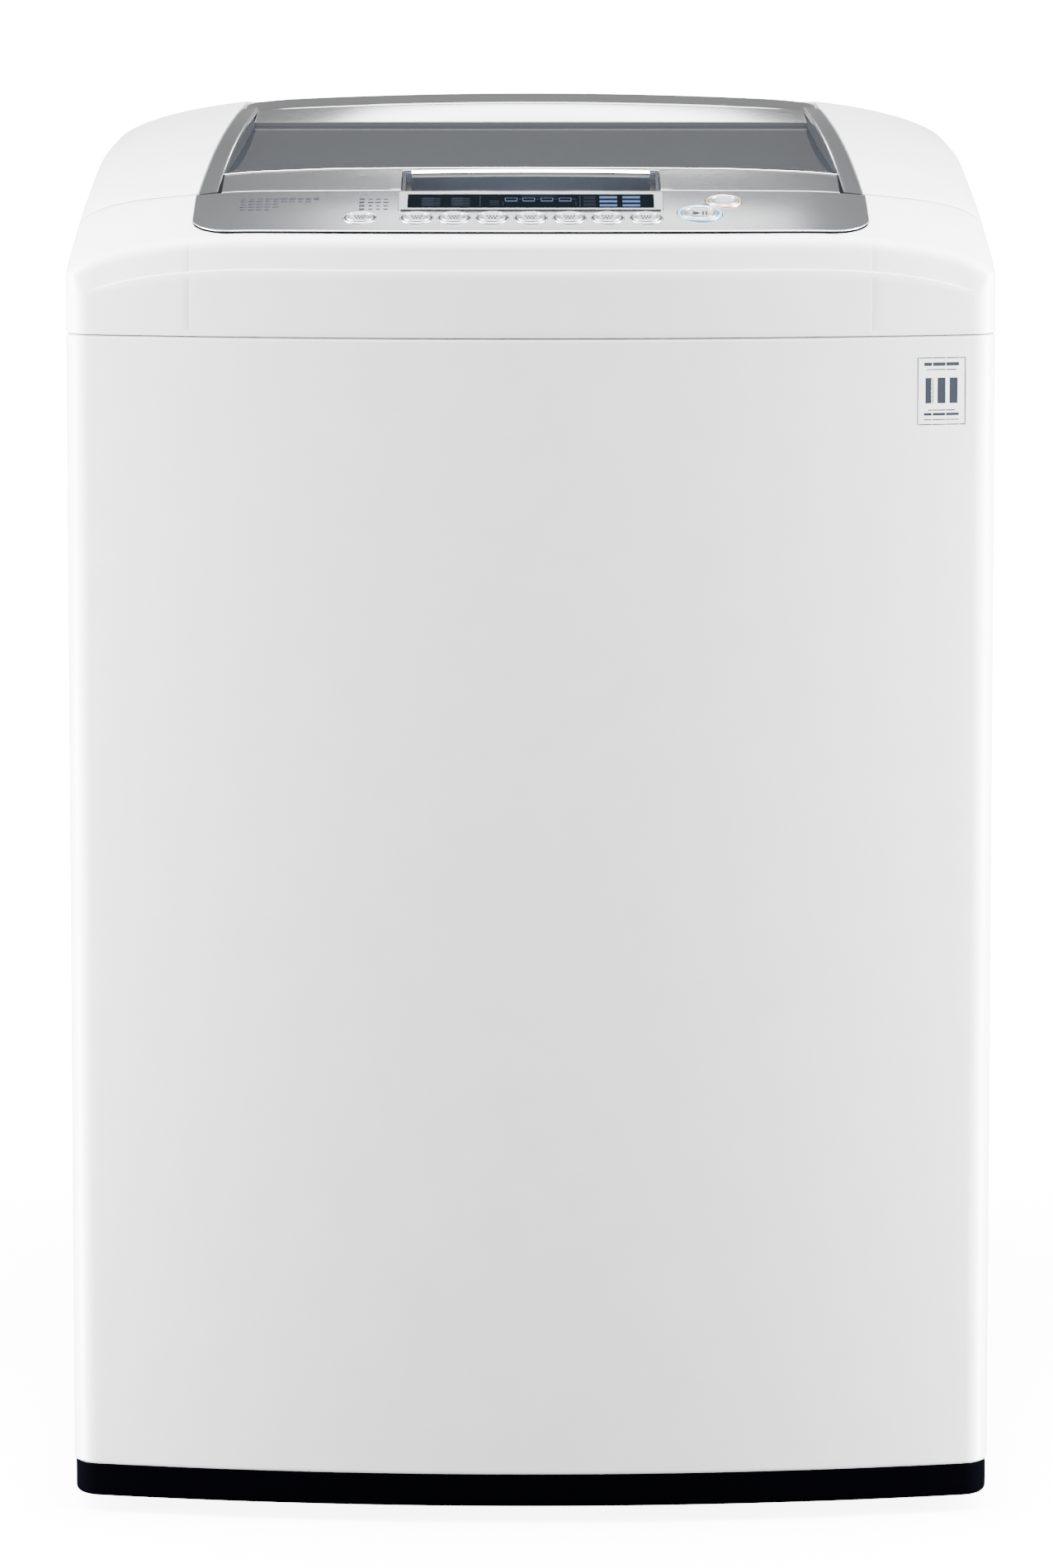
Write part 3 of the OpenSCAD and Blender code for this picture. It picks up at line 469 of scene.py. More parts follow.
def plan_outline(inset, bow_steps=64, corner_steps=14):
    """The cabinet's outline in plan, from the rear right corner round the front to the rear left."""
    r = CORNER - inset
    right = [(HALF_WIDTH - CORNER + r * math.cos(a), CORNER_Y + r * math.sin(a))
             for a in spread(0, -math.pi / 2 + CORNER_TILT, corner_steps)]
    bow = [((BOW_RADIUS - inset) * math.sin(a), BOW_CENTRE - (BOW_RADIUS - inset) * math.cos(a))
           for a in spread(CORNER_TILT, -CORNER_TILT, bow_steps)]
    left = [(-x, y) for x, y in reversed(right)]
    h = HALF_WIDTH - inset
    return ([(h, y) for y in spread(BACK - inset, CORNER_Y, 8)[:-1]] + right + bow[1:-1] + left
            + [(-h, y) for y in spread(CORNER_Y, BACK - inset, 8)[1:]])


def cabinet():
    """The wrapped sheet, with hems turned in at its top, bottom and rear edges."""
    hem = [(3 - 3 * math.cos(a), 3 - 3 * math.sin(a)) for a in spread(math.pi / 2, 0, 6)]
    profile = [(14.0, BASE_TOP)] + [(i, BASE_TOP + z) for i, z in hem]
    profile += [(i, SEAM - z) for i, z in reversed(hem)] + [(14.0, SEAM), (14.0, SEAM - 1.2)]
    profile += [(1.4, SEAM - 1.4), (1.4, BASE_TOP + 1.4), (14.0, BASE_TOP + 1.2), (14.0, BASE_TOP)]
    shape = Shape().rows([[(x, y, z) for x, y in plan_outline(i)] for i, z in profile])
    for x0, x1 in ((-341.8, -327), (327, 341.8)):
        shape.box((x0, BACK - 1.4, BASE_TOP + 1), (x1, BACK - 0.1, SEAM - 1))
    shape.piece("cabinet_wrap", "body", "cabinet_paint", replaces=["cabinet"], sharp=40)


def base():
    """The dark plinth with its rounded lower edge, and the rails behind it."""
    low, top, deck = BASE_BOTTOM, BASE_TOP - 0.4, BASE_BOTTOM + 8
    edge = [(1 + 5 - 5 * math.sin(a), low + 5 - 5 * math.cos(a)) for a in spread(0, math.pi / 2, 6)]
    profile = [(24.0, low)] + edge + [(1.0, top - 0.8), (1.8, top), (24.0, top), (24.0, low)]
    shape = Shape().rows([[(x, y, z) for x, y in plan_outline(i)] for i, z in profile])
    shape.box((-342, 322, low), (342, 345, top))
    for y in (-120, 120):
        shape.box((-323, y, low), (323, y + 36, deck))
    shape.box((-260, 150, low), (-140, 250, deck)).box((180, 150, low), (220, 325, deck))
    boss = [(5.1, low), (14, low), (14, top), (5.1, top), (5.1, low)]
    for x in (-286, 286):
        for y in (-262, 290):
            shape.box((x - 40, y - 40, low), (x + 40, min(y + 48, 345), low + 12))
            shape.lathe(boss, Matrix.Translation((x, y, 0)), 32)
    shape.piece("base_plinth", "body", "black_plastic", replaces=["base"], sharp=40)


def on_front(x, z, lift):
    """A place on the cabinet's bowed front, lifted off it."""
    n = Vector((x, bow_y(x) - BOW_CENTRE)).normalized()
    return (x + n.x * lift, bow_y(x) + n.y * lift, z)


def front_label():
    """A plain framed label on the cabinet's front, with printed bars and no words."""
    middle, height, w, h = 302.0, 846.0, 18.0, 25.0
    film, ink = Shape(), Shape()

    def patch(shape, u0, v0, u1, v1, lift, thick):
        x0, x1, z0, z1 = middle + u0, middle + u1, height + v0, height + v1
        shape.bar([[on_front(x, z0, lift), on_front(x, z1, lift), on_front(x, z1, lift - thick),
                    on_front(x, z0, lift - thick), on_front(x, z0, lift)]
                   for x in spread(x0, x1, max(1, int(abs(u1 - u0) / 4)))])

    patch(film, -w, -h, w, h, -0.05, 0.1)
    line = 0.8
    for edge in ((-w, -h, w, line - h), (-w, h - line, w, h), (-w, line - h, line - w, h - line),
                 (w - line, line - h, w, h - line)):
        patch(ink, *edge, 0.0, 0.08)
    for v, half, thick in ((20, 13, 2.6), (16, 11, 0.8), (-14, 10, 0.9), (-17, 13, 2.0), (-21, 13, 0.8)):
        patch(ink, -half, v - thick / 2, half, v + thick / 2, 0.0, 0.08)
    for u in (-9, 0, 9):
        patch(ink, u - 3, -9, u + 3, 10, 0.0, 0.08)
    film.piece("front_label", "body", "cabinet_paint", "label_white")
    ink.piece("front_label_print", "body", "cabinet_paint", "ink")


# ---- White top ----

# Columns over half of the control panel, closer together at its rounded corner
PANEL_COLUMNS = spread(0, 215, 22) + [220, 224, 228, 232, 236, 239.5, 242.5, 245, 247, 248.5, 249.5]


def shoulder_columns(start, steps=24):
    """Columns over a shoulder, closer together where it turns down."""
    first = math.asin((start - SHOULDER) / (HALF_WIDTH - SHOULDER))
    return [SHOULDER + (SIDE_EDGE - SHOULDER) * math.sin(a) for a in spread(first, math.pi / 2, steps)]


def side_wall(edge):
    """Columns from the points of a shoulder's lower edge down to the cabinet."""
    foot = SEAM + 0.5
    return [[(x, y, foot + (z - foot) * t) for t in spread(1, 0, 6)] for x, y, z in edge]


def control_housing():
    """The white front of the top, with its crease, its rounded edge and the tray under the panel."""
    middle = spread(0, 215, 14) + [221, 226, 231, 236, 240, 243.5, 246.5, 248.8, 250.2]
    sides = shoulder_columns(250.2)
    edge_round = [11.54 - 9 * math.sin(math.radians(a)) for a in range(71, 0, -7)]
    edge_steps = [0.9, 1.8, 2.74, *edge_round, 12, 14]
    crease = ((0.06, 1.2), (0.94, 0.3), (1, 0.1))

    def line(x, whole):
        y0 = outline_y(x)
        lip = CREASE * (1 - ease((abs(x) - 312) / 16))
        z_c = top_z(x, y0 + lip, lip)
        points = [(x, y0 + 0.9, SEAM + 0.5), (x, y0 + 0.25, SEAM + 0.7), (x, y0, SEAM + 1.4)]
        points += [(x, y0, z) for z in spread(SEAM + 6, z_c - 1.3 * lip, 6)]
        points += [(x, y0 + back * lip, z_c - down * lip) for back, down in crease]
        ys = [y0 + lip + e for e in edge_steps]
        mid = panel_front(x) - 0.2
        ys += spread(ys[-1], mid, 6)[1:]
        if whole:
            ys += spread(mid, seam_y(x), 12)[1:]
        return points + [(x, y, top_z(x, y, lip)) for y in ys]

    shape = Shape().rows([line(x, False) for x in mirrored(middle)])
    for sign in (-1, 1):
        grid = [line(sign * x, True) for x in sides]
        shape.rows(grid)
        start = outline_y(SIDE_EDGE)
        edge = [p for p in grid[-1] if p[2] > SEAM + 20 and p[1] > start + 0.01]
        shape.rows(side_wall([(sign * SIDE_EDGE, start, top_z(SIDE_EDGE, start)), *edge]))
    shell = shape.piece("housing_shell", "body", "white_plastic", replaces=["control_housing"], sharp=50)
    thicken(shell, 2.6)
    columns = mirrored(spread(0, 215, 8) + [231, 241, 247, 251])
    loop = strip_loop(columns, panel_front, lambda x: lid_front(x) - 1)
    tray = Shape().slab([loop, *panel_holes(1.2, 1.2)], lambda x, y: top_z(x, y) - 3.4, below(6.0), 16)
    tray.piece("housing_tray", "body", "white_plastic")


def top_cover():
    """The white rear of the top, round the lid's opening."""
    middle, sides = spread(0, 249.9, 14), shoulder_columns(249.9)
    rear = [326 + 24 * math.sin(a) for a in spread(0, math.pi / 2, 12)]

    def line(x, whole):
        ys = (spread(seam_y(x) + 1.0, 323, 30) if whole else [323]) + rear
        dip = 2.8 * ease((LID_HALF - 10 - abs(x)) / 10)
        wall = [(x, COVER_BACK, z) for z in spread(top_z(x, COVER_BACK), SEAM + 0.5, 6)[1:]]

        def across(y):
            reach = ease((HALF_WIDTH - abs(x)) / (HALF_WIDTH - 249.9)) if whole else abs(x) / 249.9
            return math.copysign(abs(x) - taper(min(y, TRIM_REAR)) * reach * ease((COVER_BACK - y) / 20), x)

        return [(across(y), y, top_z(across(y), y) - dip * ease((COVER_BACK - y) / 10)) for y in ys] + wall

    shape = Shape().rows([line(x, False) for x in mirrored(middle)])
    for sign in (-1, 1):
        grid = [line(sign * x, True) for x in sides]
        shape.rows(grid)
        corner_z = top_z(SIDE_EDGE, COVER_BACK)
        shape.rows(side_wall([p for p in grid[-1] if p[1] < COVER_BACK - 0.01 or p[2] > corner_z - 0.01]))
    shell = shape.piece("cover_shell", "body", "white_plastic", replaces=["top_cover"], sharp=50)
    thicken(shell, 2.6)


def seam_painted_shade():
    """Painted shade: a flush grey strip in the seam on each shoulder, and a black strip along the panel's
    front edge for the shadow under it.
    """
    shoulders, panel = Shape(), Shape()
    for sign in (-1, 1):
        rows = []
        for x in [sign * x for x in shoulder_columns(251)[:-1]]:
            front, rear = seam_y(x) - 0.3, seam_y(x) + 1.3
            foot, high = top_z(x, seam_y(x)) - 1.6, [(x, y, top_z(x, y) + 0.03) for y in (front, rear)]
            rows.append([(x, front, foot), *high, (x, rear, foot)])
        shoulders.rows(rows, True)
    section = ((-0.9, -2.0), (-0.9, 1.3), (0.6, 1.3), (0.6, -2.0))
    panel.rows([[(x, panel_front(x) + back, top_z(x, panel_front(x) + back) + rise) for back, rise in section]
                for x in mirrored(PANEL_COLUMNS[:-1])], True)
    shoulders.piece("shoulder_seam_painted_shade", "body", "white_plastic", "painted_shade_grey")
    panel.piece("panel_edge_painted_shadow", "body", "white_plastic", "black_rubber")


# ---- Control panel ----

def panel_holes(button_gap, display_gap):
    """Holes in plan through a sheet that lies on the panel."""
    squash = math.cos(PANEL_SLOPE)
    places = [((x, BUTTON_E), BUTTON_R) for x in BUTTON_X]
    places += [(START, START_RING[1] - 0.5), (POWER, POWER_RING[1] - 0.5)]
    holes = [circle(x, bow_y(x) + e, r + button_gap, squash=squash) for (x, e), r in places]
    w, y = 98 + display_gap, bow_y(0) + DISPLAY_E
    holes.append([(x, y + v * squash) for x, v in rounded_rect(w, 20 + display_gap, 3.2)])
    return holes


def bead_section(x, y, lift, radius):
    """A round section across a bead that lies above the top surface."""
    z = top_z(x, y) + lift
    return [(x, y + radius * math.cos(a), z + radius * math.sin(a)) for a in spread(0, 2 * math.pi, 10)]


def fascia():
    """The silver control panel, which follows the crown of the top."""
    loop = strip_loop(mirrored(PANEL_COLUMNS), lambda x: panel_front(x) + 0.5, lambda x: lid_front(x) - 2)
    shape = Shape().slab([loop, *panel_holes(1.2, 0.1)], top_z, below(3.0, 0.9 * math.tan(PANEL_SLOPE)), 12)
    shape.piece("control_panel", "body", "silver_plastic", replaces=["fascia"], sharp=40)
    bead = [bead_section(x, panel_front(x) + 0.1, 1.55, 0.55) for x in mirrored(PANEL_COLUMNS)]
    Shape().rows(bead).piece("panel_bead", "body", "silver_plastic", "chrome_trim")


def display():
    """The display's silver frame and dark window."""
    at = on_panel(0, DISPLAY_E)
    opening = [(x, y - 1.2) for x, y in rounded_rect(91.2, 15.4, 0.8)]
    rim = Shape().slab([rounded_rect(97.8, 19.8, 3), opening], flat(0.3), level(-6.0), 40, at)
    rim.piece("display_frame", "body", "silver_plastic", bevel=0.25, replaces=["display_bezel"])
    window = Shape().box((-93, -17.6, -2.9), (93, 15.2, -0.1), at)
    window.piece("display_glass", "body", "display_black", bevel=0.1, replaces=["display_window"])


def display_marks():
    """Plain bars in the display: two lit blocks, a row of four lit frames, and dim groups round them."""
    at, blue, white, dim = on_panel(0, DISPLAY_E), Shape(), Shape(), Shape()

    def bar(shape, x, y, w, h):
        shape.box((x - w / 2, y - h / 2 - 1.2, -0.15), (x + w / 2, y + h / 2 - 1.2, 0.05), at)

    for x in (-37.5, 36.5):
        bar(dim, x, 0, 0.5, 26)
    for x in (57.5, 74.5):
        for y in (-9.5, -0.6, 8.3):
            bar(blue, x, y, 13, 3.6)
            bar(blue, x, y + 2.9, 13, 0.5)
    for y in (-9.5, -6, -1.6, 1.8, 6.4, 9.6):
        bar(dim, 43.5, y, 9, 1.0)
    for x in (-14.5, -1.5, 12, 25.5):
        bar(white, x, 0.6, 9, 0.7)
        bar(blue, x, 7.2, 9, 0.5)
        for side in (-4.4, 4.4):
            bar(blue, x + side, 4.9, 0.5, 4.6)
        bar(dim, x + 6.7, 5, 2, 1.2)
    for x in (-20.5, 33.5):
        bar(dim, x, -5, 0.4, 9)
    bar(dim, 6, 11.4, 26, 0.9)
    for x in (-74, -52):
        for y in (-9, -4.2, 0.6, 5.4):
            bar(dim, x, y, 14, 1.5)
            bar(dim, x - 2, y + 2.2, 8, 0.5)
    for y in (-7.5, -3.5, 0.5):
        bar(dim, -27, y, 7, 1.0)
    for shape, colour in ((blue, "blue"), (white, "white"), (dim, "dim")):
        shape.piece(f"display_marks_{colour}", "body", "display_black", f"lit_{colour}")


def button(node, name, x, e, r):
    """A round button with a raised rim and a shallow dish."""
    dish = ((0, 0.55), (0.45, 0.6), (0.68, 0.75), (0.74, 0.95), (0.77, 0.3), (0.81, 0.3), (0.84, 1.25),
            (0.90, 1.6), (0.955, 1.35))
    stem = [(r - 0.12, 0.6), (r - 0.02, -0.4), (r, -6), (3, -6), (3, -16), (0, -16)]
    shape = Shape().lathe([(r * part, z) for part, z in dish] + stem, on_panel(x, e))
    shape.piece(name, node, "button_plastic", replaces=[node], sharp=60)


def button_surrounds():
    """A dark ring of painted shade in the gap round each small button, and a fine bright bead round that."""
    shade_ring, bead = Shape(), Shape()
    shade_ring_section = ((0.1, -2.5), (0.1, 0.0), (1.25, 0.0), (1.25, -2.5), (0.1, -2.5))
    bead_profile = ((1.2, -1.5), (1.2, 0.3), (1.5, 0.55), (1.9, 0.55), (2.2, 0.2), (2.2, -1.5), (1.2, -1.5))
    for x in BUTTON_X:
        at = on_panel(x, BUTTON_E)
        shade_ring.lathe([(BUTTON_R + out, z) for out, z in shade_ring_section], at)
        bead.lathe([(BUTTON_R + out, z) for out, z in bead_profile], at)
    shade_ring.piece("button_painted_shade_rings", "body", "silver_plastic", "painted_shade_grey")
    bead.piece("button_beads", "body", "silver_plastic", "chrome_trim", sharp=60)


def start_glyph():
    """Generic play and pause marks on the start button."""
    at, low, high = on_panel(*START), 0.9, 1.16
    triangle = ((-5.2, -2.9), (-5.2, 2.9), (0.3, 0))
    shape = Shape().add([(x, y, z) for z in (low, high) for x, y in triangle],
                        [(0, 1, 2), (3, 5, 4), (0, 3, 4, 1), (1, 4, 5, 2), (2, 5, 3, 0)], at)
    for x in (1.8, 4.2):
        shape.box((x, -2.9, low), (x + 1.3, 2.9, high), at)
    shape.piece("start_mark", "start_button", "button_plastic", "ink")


def button_ring(name, place, radii, mat):
    """A coloured ring that stands round one of the two main buttons."""
    inner, outer = radii
    crown = [(inner + 0.3, 0.95), ((inner + outer) / 2, 1.15), (outer - 0.3, 0.9)]
    profile = [(inner, -5), (inner, 0.5), *crown, (outer, 0.4), (outer, -5), (inner, -5)]
    shape = Shape().lathe(profile, on_panel(*place))
    shape.piece(name, "body", "ring_gold", mat, replaces=["button_rings"], sharp=60)


def buttons():
    """The row of eight small buttons, and the power and start buttons in their rings."""
    for k, x in enumerate(BUTTON_X):
        button(f"button_{k + 1}", f"cycle_button_{k + 1}", x, BUTTON_E, BUTTON_R)
    button_surrounds()
    button("power_button", "power_cap", *POWER, POWER_R)
    button("start_button", "start_cap", *START, START_R)
    start_glyph()
    button_ring("power_ring", POWER, POWER_RING, "ring_gold")
    button_ring("start_ring", START, START_RING, "ring_blue")


def indicator_marks():
    """Four small marks beside the display."""
    shape = Shape()
    for k in range(4):
        shape.box((-2.0, -1.3, 0.0), (2.0, 1.3, 0.3), on_panel(-125, 64 + 7.5 * k))
    shape.piece("indicator_marks", "body", "display_black", "ink")


def panel_ticks():
    """Plain tick bars of uneven widths, which stand in for the panel's printing."""
    shape, widths = Shape(), random.Random(4)

    def bar(x, e, w, h):
        shape.box((-w / 2, -h / 2, -0.2), (w / 2, h / 2, 0.18), on_panel(x, e))

    for k in range(4):
        for step in range(3):
            bar(-118.5 + 5.6 * step, 64 + 7.5 * k, widths.uniform(2.6, 4.6), 1.5)
    for k, (ticks, h) in enumerate(((10, 3.4), (9, 1.2), (5, 1.2), (5, 1.2), (4, 1.2))):
        for step in range(ticks):
            bar(-213 + 6 * step, 88 - 6.2 * k, widths.uniform(3.2, 5.2), h)
    bar(START[0] + 6, START[1] + 20, 6.5, 1.2)
    bar(POWER[0] + 2, POWER[1] + 17, 6.5, 1.2)
    for x in (40, 48, 56, 64):
        bar(x, 104, 6.5, 1.2)
    shape.piece("panel_ticks", "body", "silver_plastic", "ink")


def button_prints():
    """Two rows of plain ticks on each small button."""
    for k, x in enumerate(BUTTON_X):
        shape = Shape()
        for v, ticks in ((2.2, 4), (-1.6, 3)):
            for step in range(ticks):
                u = (step - (ticks - 1) / 2) * 2.3
                shape.box((u - 0.8, v - 1.1, 0.5), (u + 0.8, v + 1.1, 0.8), on_panel(x, BUTTON_E))
        shape.piece(f"button_{k + 1}_print", f"button_{k + 1}", "button_plastic", "ink")


# ---- Lid ----

def rail_pair(shape, section, y0, y1, steps):
    """Two bars along the lid's tapering sides. The section gives (x, depth) pairs at y."""
    for sign in (-1, 1):
        rows = []
        for y in spread(y0, y1, steps):
            places = [(x - taper(y), d) for x, d in section(y)]
            rows.append([(sign * x, y, top_z(x, y) - d) for x, d in places])
        shape.bar(rows)
    return shape


def side_rails():
    """The two silver side rails, each with a lip down to the glass and an outer skirt."""
    def section(y):
        crown = [(234.8, 0.25), *((x, 0) for x in (235.6, 238, 241, 243.5, 246)), (247.8, 0.1), (248.7, 0.5)]
        skirt = [(LID_HALF, 1.3), (LID_HALF, 9), (246.8, 9), (246.8, 3)]
        return [(RAIL_INNER, 2.6), (RAIL_INNER, 0.8), *crown, *skirt, (RAIL_INNER, 2.6)]

    return rail_pair(Shape(), section, lid_front(LID_HALF) + 0.2, LID_REAR, 60)


def rail_skirts():
    """Inner skirts under the rails, down to the edge of the glass, coloured dark grey as painted shade."""
    def section(y):
        depth = max(6.0, top_z(GLASS_HALF, y) - glass_z(y) + 1)
        return [(234.8, 2.3), (234.6, 3.2), (233.6, depth), (237.5, depth), (237.5, 2.3), (234.8, 2.3)]

    skirts = rail_pair(Shape(), section, lid_front(LID_HALF) + 0.8, 150, 50)
    skirts.piece("rail_skirt_painted_shade", "lid", "silver_plastic", "painted_shade_grey")


def rear_band(y0, y1, columns=40, rows=16):
    """The lid's rear band, which slopes up from the edge of the glass to the ridge in front of the trim."""
    def height(x, y):
        t = (y - y0) / (y1 - y0)
        low = glass_z(y0) + 3.2
        return low + (ridge_z(x, y1) - low) * (1 - (1 - t) ** 1.15)

    lip = [(y0, 6.0), (y0, 0.8), (y0 + 0.3, 0.2), (y0 + 1.0, 0.0)]
    tail = [(y1 - 1.0, 0.0), (y1 - 0.3, 0.2), (y1, 0.9), (y1, 6.0)]
    steps = lip + [(y, 0.0) for y in spread(y0 + 3, y1 - 3, rows)] + tail
    half = GLASS_HALF - 6
    return [[(x, y, height(x, y) - d) for y, d in steps] for x in spread(-half, half, columns)]


def lid_frame():
    """The lid's rails, its rear band, and the ledge under the glass."""
    shape = side_rails()
    shape.rows(rear_band(147.0, LID_REAR - 0.3))
    ledge = [[(-w, -d), (w, -d), (w, d), (-w, d)] for w, d in ((246, 176), (222, 150))]
    shape.slab(ledge, flat(-5.2), level(-9), 60, on_glass())
    shape.piece("lid_rails", "lid", "silver_plastic", replaces=["lid_frame"], sharp=40)


def lid_knuckles():
    """The four hinge knuckles under the lid's rear edge, each with its foot."""
    profile = [(3.05, 0), (6.6, 0), (7, 0.4), (7, 12.6), (6.6, 13), (3.05, 13), (3.05, 0)]
    for x in (-121, -92.5, 79.5, 108):
        axis = Matrix.Translation((x, HINGE_Y, HINGE_Z)) @ Matrix.Rotation(math.pi / 2, 4, "Y")
        knuckle = Shape().lathe(profile, axis, 48)
        knuckle.box((x + 0.2, HINGE_Y - 6, HINGE_Z + 3), (x + 12.8, HINGE_Y + 2, HINGE_Z + 7.5))
        knuckle.piece(f"lid_knuckle_{int(x + 122)}", "lid", "silver_plastic")


def front_cap():
    """The crowned silver front of the lid, cut out round the handle, and the bead along its rear edge."""
    middle, cut_rear = POCKET_HALF + 0.5, -194

    def line(x, whole):
        front = lid_front(x)
        ys = (spread(front, cut_rear, 10) if whole else [cut_rear]) + spread(cut_rear, cap_rear(x), 3)[1:]
        skirt = [(x, front, top_z(x, front) - drop) for drop in (9, 3)]
        points = [(x, y, top_z(x, y)) for y in ys]
        return (skirt + points) if whole else points

    shape, bead = Shape(), Shape()
    shape.rows([line(x, False) for x in spread(-middle, middle, 16)])
    for sign in (-1, 1):
        shape.rows([line(sign * x, True) for x in spread(middle, CAP_HALF, 14)])
        bead.rows([bead_section(sign * x, cap_rear(x), 0.15, 0.5) for x in spread(0, CAP_HALF, 40)])
    cap = shape.piece("lid_cap", "lid", "silver_plastic", replaces=["lid_front_cap"], sharp=50)
    thicken(cap, 2.4, 0.7)
    bead.piece("cap_bead", "lid", "silver_plastic", "chrome_trim")


def cap_slots():
    """Black strips at the bottom of the slots beside the cap, which paint the shadow in the slots."""
    shape = Shape()
    section = [(CAP_HALF, 0.5), (RAIL_INNER, 0.5), (RAIL_INNER, 5), (CAP_HALF, 5), (CAP_HALF, 0.5)]
    for sign in (-1, 1):
        shape.bar([[(sign * x, y, top_z(x, y) - d) for x, d in section]
                   for y in spread(lid_front(CAP_HALF) + 0.6, cap_rear(CAP_HALF) + 2, 8)])
    shape.piece("cap_slot_painted_shadow", "lid", "silver_plastic", "black_rubber")


def pocket_front(x):
    """The front edge of the handle's pocket."""
    return lid_front(x) + 0.9


def handle_pocket():
    """The dark floor and rear wall of the pocket in the front cap."""
    w, foot = POCKET_HALF, POCKET_FLOOR
    plan = strip_loop(spread(-w, w, 24), pocket_front, lambda x: POCKET_BACK)
    pocket = Shape().slab([plan], flat(foot), level(foot - 3), 30)
    pocket.box((-w, POCKET_BACK - 2.6, foot), (w, POCKET_BACK, 997.4))
    pocket.piece("handle_pocket", "lid", "slate_plastic", bevel=0.3, replaces=["handle_recess"])


def handle_ends():
    """The pocket's end walls, each with the lower block that carries the bar, coloured dark grey as painted
    shade.
    """
    shape, rear, inner = Shape(), POCKET_BACK - 2.6, POCKET_HALF - 2.5
    for sign in (-1, 1):
        wall = strip_loop(sorted((sign * inner, sign * POCKET_HALF)), pocket_front, lambda x: rear)
        shape.slab([wall], lambda x, y: top_z(POCKET_HALF, y) - 0.9, level(POCKET_FLOOR), 30)
        low, high = sorted((sign * (BAR_HALF + 0.1), sign * inner))
        block = [(low, -219), (high, -219), (high, rear), (low, rear)]
        shape.slab([block], lambda x, y: top_z(POCKET_HALF, y) - 9, level(POCKET_FLOOR), 30)
    shape.piece("handle_ends", "lid", "slate_plastic", "painted_shade_grey", sharp=15)


def handle_bar():
    """The bright bar across the pocket, with a black strip in the groove along its front that paints the
    groove's shadow.
    """
    def row(x, section):
        return [(x, y, top_z(x, BAR_Y) + BAR_LIFT - d) for y, d in section]

    back = [(-207, 0.1), (-201, 0.0), (-199.4, 0.5), (-199, 1.6), (-199.4, 5.4), (-201, 6.4), (-208.5, 6.4)]
    lower, lip = [(-210.4, 5.7), (-210.9, 4.9), (-210.9, 3.5)], [(-210.3, 3.2), (-210.3, 2.8), (-210.6, 2.6)]
    section = back + lower + lip + [(-208, 0.5)] + back[:1]
    bar = Shape().bar([row(x, section) for x in spread(-BAR_HALF, BAR_HALF, 30)])
    bar.piece("handle_grip", "lid", "chrome_trim", replaces=["handle_bar"], sharp=18)
    groove = ((-210.8, 2.65), (-210.8, 3.45), (-210, 3.45), (-210, 2.65))
    strip = Shape().rows([row(x, groove) for x in spread(0.2 - BAR_HALF, BAR_HALF - 0.2, 30)], True)
    strip.piece("handle_groove_painted_shadow", "lid", "chrome_trim", "black_rubber")


def glass():
    """The lid's tinted pane and the thin dark seal round it."""
    w, d, thick = GLASS_HALF - 0.8, 164.6, 4.0
    pane = Shape().box((-w, -d, -thick), (w, d, 0), on_glass())
    pane.piece("glass_pane", "lid", "tinted_glass", bevel=0.6, replaces=["lid_glass"])
    outer = [(-w - 0.6, -165.6), (w + 0.6, -165.6), (w + 0.6, 165.4), (-w - 0.6, 165.4)]
    inner = [(-w + 0.1, -164.4), (w - 0.1, -164.4), (w - 0.1, 164.4), (-w + 0.1, 164.4)]
    seal = Shape().slab([outer, inner], flat(-0.6), level(-5.1), 60, on_glass())
    seal.piece("glass_seal", "lid", "tinted_glass", "black_rubber")


def rear_trim():
    """The silver band behind the lid."""
    ys = [TRIM_FRONT + back for back in (0, 0.25, 1)] + spread(TRIM_FRONT + 3, TRIM_REAR - 1.5, 14)
    ys += [TRIM_REAR - 0.4, TRIM_REAR]
    drops = [20.0, 0.9, 0.2] + [0.0] * 15 + [0.3, 2.6]
    steps = [(y, 1 - taper(y) / LID_HALF, drop) for y, drop in zip(ys, drops)]
    shape = Shape().rows([[(x * narrow, y, ridge_z(x, y) - drop) for y, narrow, drop in steps]
                          for x in spread(-LID_HALF, LID_HALF, 40)])
    band = shape.piece("rear_band", "body", "silver_plastic", "trim_silver", replaces=["rear_trim"], sharp=50)
    thicken(band, 2.0, 0.4)


# ---- CAD parts that are shown as they are ----

def finish_cad():
    """Gives each CAD part that is still shown its material and smooth shading."""
    slots = {p["node"]: p["material_slot"] for p in frame["record"]["subparts"]}
    for name, obj in frame["nodes"].items():
        if obj.hide_render:
            continue
        obj.data.materials.clear()
        obj.data.materials.append(MAT[slots[name]])
        if "custom_normal" in obj.data.attributes:
            obj.data.attributes.remove(obj.data.attributes["custom_normal"])
        obj.data.shade_smooth()
        weld = obj.modifiers.new("weld", "WELD")
        weld.merge_threshold = 1e-6
        split = obj.modifiers.new("crisp_edges", "EDGE_SPLIT")
        split.split_angle = math.radians(32)


# ---- Studio ----

